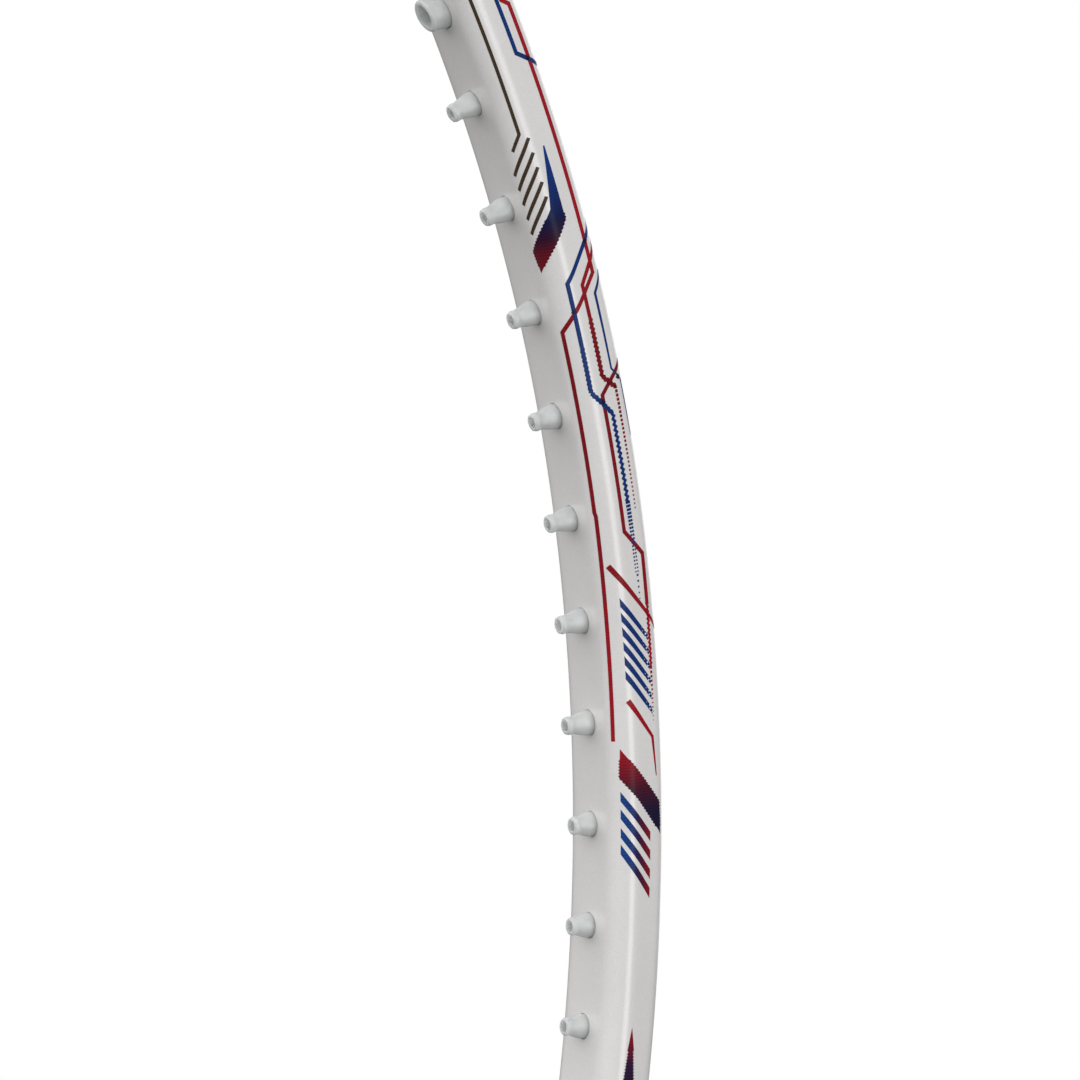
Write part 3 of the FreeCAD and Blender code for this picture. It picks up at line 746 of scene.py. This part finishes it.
red_ink = printed_ink("red screen ink", [(-170, RED), (28, RED), (34, "#8E0C1B"), (56, DEEP_RED),
                                         (60, "#980C1E"), (66, RED), (180, RED)])
blue_ink = printed_ink("blue screen ink", [(-170, NAVY), (-20, NAVY), (20, BLUE), (180, BLUE)])
blue_halftone = printed_ink("blue halftone ink", [(-170, BLUE), (180, BLUE)], 0, (7.2, 9.4))
bronze_ink = printed_ink("bronze screen ink", [(-170, BRONZE), (180, BRONZE)])
overprint_ink = printed_ink("overprinted screen ink", [(-170, "#1C0C2C"), (180, "#1C0C2C")])
chevron_ink = printed_ink("blue to red screen ink", [(64, "#780A1A"), (65.4, "#640A20"), (66.8, "#30082A"),
                                                     (68.4, "#081244"), (70.2, "#05266A"), (75, "#063A8C")])
slash_ink = printed_ink("red to navy screen ink", [(8.5, "#101234"), (11.0, "#1C1034"), (13.2, "#4A0E28"),
                                                   (15.2, "#850E22"), (17, RED)])
bar_ink = printed_ink("blue to dark red screen ink", [(4.4, "#124A94"), (5.6, "#13367A"), (6.2, "#24164A"),
                                                      (6.8, "#5A0F2A"), (7.7, "#920F22")], 1)
spike_ink = printed_ink("red to navy spike ink", [(-36, NAVY), (-18, NAVY), (-13.4, "#30103A"),
                                                  (-11.6, "#780E28"), (-9.8, RED)])


def red_lines(bm):
    line_shape(bm, [(140, 7.9), (89.4, 7.9), (88.7, 8.55), (62.3, 8.5), (57.7, 4.0), (40.0, 4.0),
                    (39.7, 4.1), (17.8, 3.95)], LINE)
    line_shape(bm, [(65.6, 10.3), (61.6, 7.0), (58.4, 7.0)], LINE)
    saw_line(bm, (58.4, 7.0), (52.7, 7.0), LINE)
    saw_line(bm, (52.7, 7.0), (51.3, 8.3), LINE)
    dot_line(bm, (51.3, 8.3), (39.3, 8.35), 0.3, 0.4, 0.45)
    line_shape(bm, [(53.6, 9.6), (51.0, 6.6), (37.8, 6.7), (35.3, 8.55), (30.4, 8.5)], LINE)
    saw_line(bm, (30.4, 8.5), (24.4, 8.4), 0.26)
    dot_line(bm, (24.4, 8.4), (19.0, 8.35), 0.26, 0.4, 0.3)
    line_shape(bm, [(34.8, 4.7), (29.6, 8.45), (27.9, 9.6)], 0.54, (1.0, 0.5))
    line_shape(bm, [(21.7, 5.55), (17.9, 8.15), (14.1, 8.5)], 0.52, (1.0, 0.2))


def blue_lines(bm):
    line_shape(bm, [(131, 7.2), (97, 7.4), (84.3, 7.4), (82.3, 9.5)], LINE)
    line_shape(bm, [(67.0, 10.0), (62.2, 5.5), (56, 5.5)], LINE)
    saw_line(bm, (56, 5.5), (51.5, 5.5), LINE, 0.22, 0.04)
    saw_line(bm, (51.5, 5.5), (49.0, 7.4), LINE, 0.22, 0.05)
    saw_line(bm, (49.0, 7.4), (40.4, 7.55), 0.3, 0.26, 0.11)
    for shift in (-0.13, 0.13):
        dot_line(bm, (40.4, 7.55 + shift), (33.4, 7.68 + shift), 0.26, 0.34, 0.5)
    dot_line(bm, (33.4, 7.7), (30.6, 7.7), 0.2, 0.5, 0.5)
    line_shape(bm, [(62.2, 9.6), (60.4, 8.2), (53.1, 8.2), (51.8, 9.15), (46.4, 9.3)], 0.3, (1.0, 0.35))


def blue_bars(bm):
    for i in range(6):
        start = 31.2 - 1.4 * i
        bar(bm, (start, 5.45), (start - 4.0, 8.35), 0.5, 0.7)


def bronze_lines(bm):
    line_shape(bm, [(122, 5.0), (77.2, 5.0), (75.7, 3.9)], 0.31)
    for i in range(5):
        line_shape(bm, [(76.6 - 1.46 * i, 5.73), (73.3 - 1.46 * i, 3.25)], 0.34)


def chevron(bm):
    area_shape(bm, [(75.3, 7.07), (68.1, 7.04), (63.6, 3.2), (65.7, 2.8), (69.5, 5.75), (75.3, 6.9)])
    serrate(bm, 64.2, 68.7)


def slash(bm):
    area_shape(bm, [(17.1, 4.6), (13.5, 7.4), (11.6, 8.8), (8.5, 9.0), (12.2, 6.3), (14.3, 4.5)])
    serrate(bm, 9.2, 16.1)


def lower_bars(bm):
    for i in range(4):
        bar(bm, ((12.5, 10.8, 9.0, 7.4)[i], 4.55), ((8.4, 6.6, 4.8, 3.0)[i], 7.7), 0.56)


def crossings(bm):
    """Places where one ink lies over another, and both show."""
    for x, y, angle in ((65.35, 8.5, 45), (59.45, 5.5, 40), (52.15, 8.8, 40), (50.35, 6.55, -35),
                        (83.35, 8.4, -50)):
        made = bmesh.ops.create_grid(bm, x_segments=1, y_segments=1, size=LINE / 2)
        turn = Matrix.Rotation(math.radians(angle), 3, "Z")
        bmesh.ops.rotate(bm, cent=(0, 0, 0), matrix=turn, verts=made["verts"])
        bmesh.ops.translate(bm, vec=(x, y, 0), verts=made["verts"])


def spike(bm):
    area_shape(bm, [(-9.8, 6.44), (-14.9, 6.05), (-30, 5.2), (-36, 7.6), (-30, 8.4), (-14.9, 7.1)])
    serrate(bm, -29.6, -12)


print_on_rim("red_lines", red_lines, red_ink)
print_on_rim("blue_lines", blue_lines, blue_ink, 0.026)
print_on_rim("blue_bars", blue_bars, blue_halftone)
print_on_rim("bronze_lines", bronze_lines, bronze_ink)
print_on_rim("chevron", chevron, chevron_ink)
print_on_rim("slash", slash, slash_ink)
print_on_rim("lower_bars", lower_bars, bar_ink)
print_on_rim("spike", spike, spike_ink)
print_on_rim("ink_crossings", crossings, overprint_ink, 0.032)


def far_red(bm):
    line_shape(bm, [(140, 7.9), (142.6, 5.6), (168, 5.6), (170, 7.2), (178.5, 7.2)], LINE, (1.0, 0.7))
    for i in range(5):
        line_shape(bm, [(162 - 1.6 * i, 7.0), (158.6 - 1.6 * i, 9.2)], 0.45)
    area_shape(bm, [(-40, 8.3), (-52, 8.2), (-58.5, 4.2), (-55.5, 3.9), (-50.5, 7.0)])
    line_shape(bm, [(-60, 8.1), (-92, 8.1), (-95.5, 5.2), (-139, 5.2), (-142, 7.4), (-150, 7.4)], LINE)


def far_blue(bm):
    line_shape(bm, [(131, 7.2), (133.4, 4.6), (150, 4.6), (152.4, 6.9), (172, 6.9), (174.2, 4.6),
                    (179.5, 4.6)], LINE)
    area_shape(bm, [(136, 8.7), (146.5, 8.6), (151.5, 8.9), (147.8, 7.3)])
    line_shape(bm, [(-36, 4.6), (-66, 4.6), (-69, 7.1), (-104, 7.1), (-107, 4.4), (-128, 4.4)], LINE)
    for i in range(6):
        line_shape(bm, [(-70 - 1.5 * i, 4.1), (-73.4 - 1.5 * i, 6.2)], 0.45)
    area_shape(bm, [(-112, 8.3), (-124, 8.1), (-130, 5.6), (-126, 5.4), (-120.5, 7.2)])


def far_bronze(bm):
    line_shape(bm, [(122, 5.0), (123.6, 3.9), (129, 3.9)], 0.26)
    line_shape(bm, [(-84, 3.6), (-118, 3.6), (-120, 4.9)], 0.26)
    for i in range(5):
        line_shape(bm, [(-121 - 1.5 * i, 3.4), (-124.2 - 1.5 * i, 4.9)], 0.28)


print_on_rim("red_lines_far", far_red, red_ink)
print_on_rim("blue_lines_far", far_blue, blue_ink)
print_on_rim("bronze_lines_far", far_bronze, bronze_ink)


# ---- Sleeve, shaft, cone and cap ----

def banded_lacquer(name, bands, rough=0.34):
    """Lacquer in colours by height: (height in millimetres, colour) stops up the racket."""
    made, tree, shader = material(name, dict(CLEARCOAT, Roughness=rough))
    place = node(tree, "ShaderNodeTexCoord").outputs["Object"]
    z = node(tree, "ShaderNodeSeparateXYZ", None, {0: place}).outputs[2]
    low, high = bands[0][0], bands[-1][0]
    along = node(tree, "ShaderNodeMapRange", {1: low * MM, 2: high * MM}, {0: z})
    tone = ramp(tree, along.outputs[0], [((mm - low) / (high - low), srgb(c)) for mm, c in bands])
    # Mica flakes as in the head's lacquer
    flakes = node(tree, "ShaderNodeTexVoronoi", {"Scale": 1 / (0.15 * MM)}, {"Vector": place})
    sparkle = ramp(tree, flakes.outputs["Color"], [(0.0, grey(0.92)), (1.0, grey(1.0))])
    colour = node(tree, "ShaderNodeMix", {"data_type": "RGBA", "blend_type": "MULTIPLY", 0: 1.0},
                  {6: tone, 7: sparkle})
    tree.links.new(colour.outputs[2], shader.inputs["Base Color"])
    peel = node(tree, "ShaderNodeTexNoise", {"Scale": 1 / (1.5 * MM), "Detail": 2.0}, {"Vector": place})
    bump = node(tree, "ShaderNodeBump", {"Strength": 0.12, "Distance": 0.02 * MM},
                {"Height": peel.outputs["Fac"]})
    tree.links.new(bump.outputs[0], shader.inputs["Normal"])
    tree.links.new(bump.outputs[0], shader.inputs["Coat Normal"])
    return made


def rings(*stops):
    """Stops for sharp-edged rings: (from, to, colour) over a ground."""
    made = []
    for low, high, colour in stops:
        made += [(low, colour), (high - 0.02, colour)]
    return made


shaft_lacquer = banded_lacquer("lacquered shaft", rings(
    (190, 212, NAVY), (212, 213, RED), (213, 216, WHITE), (216, 217, BLUE), (217, 219, WHITE),
    (219, 219.6, BRONZE), (219.6, 372, WHITE), (372, 373, RED), (373, 375, WHITE), (375, 379, NAVY),
    (379, 381, WHITE), (381, 382, BLUE), (382, 425, WHITE)))
sleeve_lacquer = banded_lacquer("lacquered sleeve", rings(
    (395, 397.2, NAVY), (397.2, 398.0, RED), (398.0, 430, WHITE)))
cone_lacquer = banded_lacquer("lacquered cone", [
    (166, NAVY), (176, NAVY), (196, "#1B3F86"), (201, BLUE), (203.0, BLUE),
    (203.05, WHITE), (204.2, WHITE), (204.25, RED), (207.5, RED)])
smoothed_copy("throat_sleeve", "throat_sleeve_lacquered", sleeve_lacquer)
smoothed_copy("shaft", "shaft_lacquered", shaft_lacquer)
smoothed_copy("shaft_cone", "cone", cone_lacquer)


def moulded_plastic(name, base, rough, speck):
    """Moulded plastic: fine spark-eroded grain from the mould, about 0.25 mm, and slight flow shading."""
    made, tree, shader = material(name, {"Roughness": rough, "IOR": 1.5})
    place = node(tree, "ShaderNodeTexCoord").outputs["Object"]
    grain = node(tree, "ShaderNodeTexVoronoi", {"Scale": 1 / (0.25 * MM)}, {"Vector": place})
    flow = node(tree, "ShaderNodeTexNoise", {"Scale": 1 / (6 * MM), "Detail": 4.0}, {"Vector": place})
    tone = ramp(tree, flow.outputs["Fac"], [(0.3, srgb(speck)), (0.7, srgb(base))])
    tree.links.new(tone, shader.inputs["Base Color"])
    bump = node(tree, "ShaderNodeBump", {"Strength": 0.3, "Distance": 0.03 * MM},
                {"Height": grain.outputs["Distance"]})
    tree.links.new(bump.outputs[0], shader.inputs["Normal"])
    return made


cap_plastic = moulded_plastic("white moulded ABS", "#E6E4E1", 0.36, "#DDDBD8")
smoothed_copy("butt_cap", "cap", cap_plastic)

# Badge: pearl field, a bronze ring at its edge and a fine red ring inside, told apart by radius
badge_finish, tree, shader = material("printed badge", CLEARCOAT)
place = node(tree, "ShaderNodeTexCoord").outputs["Object"]
flat = node(tree, "ShaderNodeVectorMath", {"operation": "MULTIPLY", 1: (1.0, 1.0, 0.0)}, {0: place})
radius = node(tree, "ShaderNodeVectorMath", {"operation": "LENGTH"}, {0: flat.outputs[0]})
share = node(tree, "ShaderNodeMapRange", {1: 0.0, 2: 9 * MM}, {0: radius.outputs["Value"]})
field = ramp(tree, share.outputs[0], [(0.0, srgb("#1D4690")), (0.32, srgb(NAVY)), (0.56, srgb(NAVY)),
                                      (0.565, srgb(RED)), (0.62, srgb(RED)), (0.625, srgb(NAVY)),
                                      (0.81, srgb(NAVY)), (0.82, srgb("#7B6046")), (1.0, srgb("#7B6046"))])
flakes = node(tree, "ShaderNodeTexVoronoi", {"Scale": 1 / (0.2 * MM)}, {"Vector": place})
sparkle = ramp(tree, flakes.outputs["Color"], [(0.0, grey(0.85)), (1.0, grey(1.0))])
colour = node(tree, "ShaderNodeMix", {"data_type": "RGBA", "blend_type": "MULTIPLY", 0: 1.0},
              {6: field, 7: sparkle})
tree.links.new(colour.outputs[2], shader.inputs["Base Color"])
smoothed_copy("butt_badge", "badge", badge_finish)


# ---- Wood and steel of the handle, kept from the CAD ----

wood, tree, shader = material("sanded paulownia", {"Roughness": 0.6, "IOR": 1.5})
# Straight grain: growth lines about 1.2 mm apart, drawn out along the handle
place = node(tree, "ShaderNodeTexCoord").outputs["Object"]
drawn_out = node(tree, "ShaderNodeMapping", {"Scale": (1.0, 1.0, 0.05)}, {"Vector": place})
grain = node(tree, "ShaderNodeTexNoise", {"Scale": 1 / (1.2 * MM), "Detail": 6.0, "Distortion": 0.4},
             {"Vector": drawn_out.outputs[0]})
tone = ramp(tree, grain.outputs["Fac"], [(0.3, srgb("#B08A5E")), (0.55, srgb("#CBAA7C")),
                                         (0.8, srgb("#DABF95"))])
tree.links.new(tone, shader.inputs["Base Color"])
bump = node(tree, "ShaderNodeBump", {"Strength": 0.3, "Distance": 0.05 * MM},
            {"Height": grain.outputs["Fac"]})
tree.links.new(bump.outputs[0], shader.inputs["Normal"])

steel, tree, shader = material("bright drawn steel", {"Base Color": srgb("#B9BABC"), "Metallic": 1.0})
place = node(tree, "ShaderNodeTexCoord").outputs["Object"]
drawn_marks = node(tree, "ShaderNodeTexNoise", {"Scale": 1 / (0.3 * MM), "Detail": 3.0}, {"Vector": place})
tree.links.new(ramp(tree, drawn_marks.outputs["Fac"], [(0.3, grey(0.28)), (0.7, grey(0.42))]),
               shader.inputs["Roughness"])

for name, finish in (("handle_half_front", wood), ("handle_half_back", wood),
                     ("butt_cap_nails", steel), ("grip_tack", steel)):
    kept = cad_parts[name]
    kept.data.materials.clear()
    kept.data.materials.append(finish)


# ---- Grip ----

HANDLE_WIDTH, HANDLE_DEPTH, HANDLE_BEVEL = 25.0, 22.0, 6.6
GRIP_LOW, GRIP_HIGH, GRIP_GAP = 3.05, 173.0, 0.05
STRIP_WIDTH, STRIP_PITCH = 25.0, 21.5
# The strip and the tape are spun round a circle of this radius, then laid on the handle's octagon
SPIN_RADIUS = 10
# The soft strip rounds a corner over this length each side, and sinks this far at it
CORNER_SOFT, CORNER_SINK = 2.0, 0.22


def octagon_outline():
    """Corners of the handle's octagon, in order round it."""
    x, y, b = HANDLE_WIDTH / 2, HANDLE_DEPTH / 2, HANDLE_BEVEL / math.sqrt(2)
    return [(x, -y + b), (x, y - b), (x - b, y), (b - x, y),
            (-x, y - b), (-x, b - y), (b - x, -y), (x - b, -y)]


def outline_place(corners, share, stand_off):
    """Point at a share of the way round the octagon, at a distance outside it, with corners rounded."""
    points = [Vector(c) for c in corners]
    lengths = [(points[(i + 1) % 8] - p).length for i, p in enumerate(points)]
    run = (share % 1.0) * sum(lengths)
    i = 0
    while run > lengths[i]:
        run -= lengths[i]
        i += 1

    def edge_normal(k):
        along = (points[(k + 1) % 8] - points[k % 8]).normalized()
        return Vector((along.y, -along.x))

    here = points[i] + (points[(i + 1) % 8] - points[i]) * run / lengths[i]
    normal, left = edge_normal(i), lengths[i] - run
    to_corner, beyond = (run, i - 1) if run < CORNER_SOFT else (left, i + 1)
    if to_corner < CORNER_SOFT:
        nearness = 1 - to_corner / CORNER_SOFT
        normal = normal.lerp(edge_normal(beyond), 0.5 * nearness).normalized()
        here -= normal * CORNER_SINK * nearness ** 2
    return here + normal * stand_off


corners = octagon_outline()
strip = bmesh.new()
across = strip.verts.layers.float.new("across")
# Section of the strip, (stand-off, place up the strip): it lies on the turn below, and its skived upper
# edge is lain on by the turn above
overlap = STRIP_WIDTH - STRIP_PITCH
section = [(GRIP_GAP + 0.62, 0.0), (1.45, 0.05), (1.66, 0.35), (1.7, 0.9), (1.68, overlap - 0.5),
           (1.42, overlap + 0.9), (1.22, overlap + 2.2), (1.16, 8.0), (1.14, 12.0), (1.16, 16.0),
           (1.2, STRIP_PITCH - 2.0),
           (1.16, STRIP_PITCH - 0.6), (0.66, STRIP_PITCH - 0.1), (0.6, STRIP_WIDTH), (GRIP_GAP, STRIP_WIDTH),
           (GRIP_GAP, overlap + 1.0), (GRIP_GAP + 0.55, overlap)]
verts = []
for stand, up in section:
    v = strip.verts.new((SPIN_RADIUS + stand, 0, GRIP_LOW - STRIP_WIDTH + up))
    v[across] = up
    verts.append(v)
edges = [strip.edges.new(pair) for pair in zip(verts, verts[1:] + verts[:1])]
STEPS = 96
turns = (GRIP_HIGH - GRIP_LOW + 2 * STRIP_WIDTH) / STRIP_PITCH
bmesh.ops.spin(strip, geom=verts + edges, cent=(0, 0, 0), axis=(0, 0, 1), dvec=(0, 0, STRIP_PITCH / STEPS),
               angle=2 * math.pi * turns, steps=round(turns * STEPS), use_duplicate=False)
bmesh.ops.recalc_face_normals(strip, faces=strip.faces)
uv = strip.loops.layers.uv.new("strip")
# Length of the strip's pattern round the handle
WRAP_LENGTH = 84.0
for face in strip.faces:
    for loop in face.loops:
        v = loop.vert
        turn = (v.co.z - v[across] - GRIP_LOW + STRIP_WIDTH) / STRIP_PITCH
        loop[uv].uv = (turn * WRAP_LENGTH, v[across])
for v in strip.verts:
    turn = (v.co.z - v[across] - GRIP_LOW + STRIP_WIDTH) / STRIP_PITCH
    place = outline_place(corners, turn, math.hypot(v.co.x, v.co.y) - SPIN_RADIUS)
    v.co.x, v.co.y = place
for level, way in ((GRIP_LOW, -1), (GRIP_HIGH, 1)):
    bmesh.ops.bisect_plane(strip, geom=strip.verts[:] + strip.edges[:] + strip.faces[:], dist=1e-5,
                           plane_co=(0, 0, level), plane_no=(0, 0, way), clear_outer=True)
    rim = [e for e in strip.edges if e.is_boundary]
    bmesh.ops.holes_fill(strip, edges=rim)
bmesh.ops.scale(strip, vec=(MM, MM, MM), verts=strip.verts)

# Polyurethane strip: soft sheen, fine leather-like embossing, and rows of vent holes, painted black inside
# as painted shade
grip_finish, tree, shader = material("embossed polyurethane", {
    "Roughness": 0.5, "IOR": 1.48, "Sheen Weight": 0.15, "Sheen Roughness": 0.5})
place = node(tree, "ShaderNodeTexCoord").outputs["Object"]
strip_map = node(tree, "ShaderNodeUVMap", {"uv_map": "strip"}).outputs[0]
# Vent holes 0.8 mm across on a 3.6 mm grid; the map is in millimetres
vents = node(tree, "ShaderNodeTexVoronoi", {"voronoi_dimensions": "2D", "Scale": 1 / 3.6, "Randomness": 0.0},
             {"Vector": strip_map})
# Black at each vent's middle is painted shade inside the hole; the same mask presses the hole in through the
# bump below
vent_hole_and_shade = ramp(tree, vents.outputs["Distance"], [(0.09, grey(0.0)), (0.13, grey(1.0))])
pebble = node(tree, "ShaderNodeTexVoronoi", {"feature": "SMOOTH_F1", "Scale": 1 / (0.7 * MM)},
              {"Vector": place})
drift = node(tree, "ShaderNodeTexNoise", {"Scale": 1 / (12 * MM), "Detail": 4.0}, {"Vector": place})
tone = ramp(tree, drift.outputs["Fac"], [(0.3, srgb("#1B1D24")), (0.7, srgb("#262932"))])
vent_shaded = node(tree, "ShaderNodeMix", {"data_type": "RGBA", "blend_type": "MULTIPLY", 0: 1.0},
                {6: tone, 7: vent_hole_and_shade})
tree.links.new(vent_shaded.outputs[2], shader.inputs["Base Color"])
embossed = node(tree, "ShaderNodeBump", {"Strength": 0.5, "Distance": 0.12 * MM},
                {"Height": pebble.outputs["Distance"]})
pierced = node(tree, "ShaderNodeBump", {"Strength": 1.0, "Distance": 0.4 * MM},
               {"Height": vent_hole_and_shade, "Normal": embossed.outputs[0]})
tree.links.new(pierced.outputs[0], shader.inputs["Normal"])
piece("grip_strip", strip, grip_finish, ["grip"], 40)

# Collar tape: one closed turn with rounded edges, and the lapped end of its second turn at the back
tape_finish, tree, shader = material("stretched vinyl tape", {"Roughness": 0.42, "IOR": 1.53})
place = node(tree, "ShaderNodeTexCoord").outputs["Object"]
stretched = node(tree, "ShaderNodeMapping", {"Scale": (0.2, 0.2, 1.0)}, {"Vector": place})
drawn = node(tree, "ShaderNodeTexNoise", {"Scale": 1 / (0.8 * MM), "Detail": 4.0},
             {"Vector": stretched.outputs[0]})
tree.links.new(ramp(tree, drawn.outputs["Fac"], [(0.3, srgb("#15183A")), (0.7, srgb("#20255A"))]),
               shader.inputs["Base Color"])
bump = node(tree, "ShaderNodeBump", {"Strength": 0.35, "Distance": 0.06 * MM},
            {"Height": drawn.outputs["Fac"]})
tree.links.new(bump.outputs[0], shader.inputs["Normal"])

tape = bmesh.new()
# Each turn as (low, high, inner and outer stand-off, first and last share of the way round)
for low, high, inner, outer, first, last in ((161, 173, 1.7, 2.08, 0.0, 1.0),
                                             (161.3, 172.7, 2.05, 2.2, 0.52, 0.68)):
    ring = bmesh.new()
    section = [(inner, low), (outer - 0.08, low), (outer, low + 0.15),
               (outer, high - 0.15), (outer - 0.08, high), (inner, high)]
    verts = [ring.verts.new((SPIN_RADIUS + stand, 0, up)) for stand, up in section]
    edges = [ring.edges.new(pair) for pair in zip(verts, verts[1:] + verts[:1])]
    whole = last - first == 1.0
    steps = round(128 * (last - first))
    bmesh.ops.subdivide_edges(ring, edges=[e for e in edges if e.calc_length() > 5], cuts=6)
    bmesh.ops.spin(ring, geom=ring.verts[:] + ring.edges[:], cent=(0, 0, 0), axis=(0, 0, 1), dvec=(0, 0, 0),
                   angle=2 * math.pi * (last - first), steps=steps, use_merge=whole)
    if not whole:
        bmesh.ops.holes_fill(ring, edges=[e for e in ring.edges if e.is_boundary])
    for v in ring.verts:
        share = (math.atan2(v.co.y, v.co.x) / (2 * math.pi)) % 1.0 + first
        stand = math.hypot(v.co.x, v.co.y) - SPIN_RADIUS
        v.co.x, v.co.y = outline_place(corners, share, stand)
    bmesh.ops.remove_doubles(ring, verts=ring.verts, dist=1e-3)
    bmesh.ops.recalc_face_normals(ring, faces=ring.faces)
    bmesh.ops.scale(ring, vec=(MM, MM, MM), verts=ring.verts)
    ring_mesh = bpy.data.meshes.new("ring")
    ring.to_mesh(ring_mesh)
    ring.free()
    tape.from_mesh(ring_mesh)
    bpy.data.meshes.remove(ring_mesh)
piece("collar_tape_wound", tape, tape_finish, ["collar_tape"], 40)


# ---- Floor, light and camera ----

floor = bmesh.new()
bmesh.ops.create_circle(floor, cap_ends=True, segments=96, radius=1.1)
floor_mesh = bpy.data.meshes.new("floor")
floor.to_mesh(floor_mesh)
floor.free()
floor_finish, tree, shader = material("matt white floor", {"Roughness": 0.9})
place = node(tree, "ShaderNodeTexCoord").outputs["Object"]
mottle = node(tree, "ShaderNodeTexNoise", {"Scale": 1 / (2 * MM), "Detail": 3.0}, {"Vector": place})
tree.links.new(ramp(tree, mottle.outputs["Fac"], [(0.3, srgb("#F0F0F0")), (0.7, srgb("#F2F2F2"))]),
               shader.inputs["Base Color"])
floor_mesh.materials.append(floor_finish)
floor_object = bpy.data.objects.new("floor", floor_mesh)
bpy.context.scene.collection.objects.link(floor_object)
floor_object.visible_diffuse = False
floor_object.visible_glossy = False

# Studio: bright above the horizon and dark below it, brighter from the left than from the right
world = bpy.data.worlds.new("studio")
world.use_nodes = True
tree = world.node_tree
tree.nodes.clear()
outward = node(tree, "ShaderNodeTexCoord").outputs["Generated"]
direction = node(tree, "ShaderNodeSeparateXYZ", None, {0: outward})
height = node(tree, "ShaderNodeMapRange", {1: -1.0, 2: 1.0}, {0: direction.outputs[2]})
sky = ramp(tree, height.outputs[0], [(0.42, grey(0.15)), (0.58, grey(1.0))])
sideways = node(tree, "ShaderNodeMapRange", {1: -1.0, 2: 1.0}, {0: direction.outputs[0]})
balance = ramp(tree, sideways.outputs[0], [(0.12, grey(1.0)), (0.6, grey(0.37))])
studio = node(tree, "ShaderNodeMix", {"data_type": "RGBA", "blend_type": "MULTIPLY", 0: 1.0},
              {6: sky, 7: balance})
lit = node(tree, "ShaderNodeBackground", {"Strength": 1.62}, {"Color": studio.outputs[2]})
seen = node(tree, "ShaderNodeBackground", {"Color": grey(1.0), "Strength": 1.0})
ray = node(tree, "ShaderNodeLightPath")
mixed = node(tree, "ShaderNodeMixShader", None, {0: ray.outputs["Is Camera Ray"], 1: lit.outputs[0],
                                                 2: seen.outputs[0]})
node(tree, "ShaderNodeOutputWorld", None, {"Surface": mixed.outputs[0]})
bpy.context.scene.world = world
bpy.context.scene.view_settings.view_transform = "Standard"


def soft_light(name, place, aim, size, power):
    """Rectangular soft box, aimed at a point."""
    lamp = bpy.data.lights.new(name, "AREA")
    lamp.shape, lamp.size, lamp.size_y, lamp.energy = "RECTANGLE", size[0], size[1], power
    made = bpy.data.objects.new(name, lamp)
    made.location = place
    made.rotation_euler = (Vector(aim) - Vector(place)).to_track_quat("-Z", "Y").to_euler()
    bpy.context.scene.collection.objects.link(made)


head_middle = (0.09, 0, WIDEST_Z * MM)
soft_light("front box", (0.45, -2.0, 0.6), head_middle, (0.8, 2.4), 16)
soft_light("back fill", (1.9, 1.3, 1.0), head_middle, (1.6, 2.0), 10)

lens = bpy.data.cameras.new("camera")
lens.sensor_width = 36.0
lens.lens = 214.4
lens.clip_start, lens.clip_end = 0.01, 50
camera = bpy.data.objects.new("camera", lens)
right = Vector((0.86697, -0.49713, 0.03501))
up = Vector((0.04227, 0.14335, 0.98877))
back = right.cross(up).normalized()
up = back.cross(right).normalized()
camera.matrix_world = Matrix.Translation((-0.210871, -0.512596, WIDEST_Z * MM + 0.123379)) \
    @ Matrix((right.normalized(), up, back)).transposed().to_4x4()
bpy.context.scene.collection.objects.link(camera)
bpy.context.scene.camera = camera
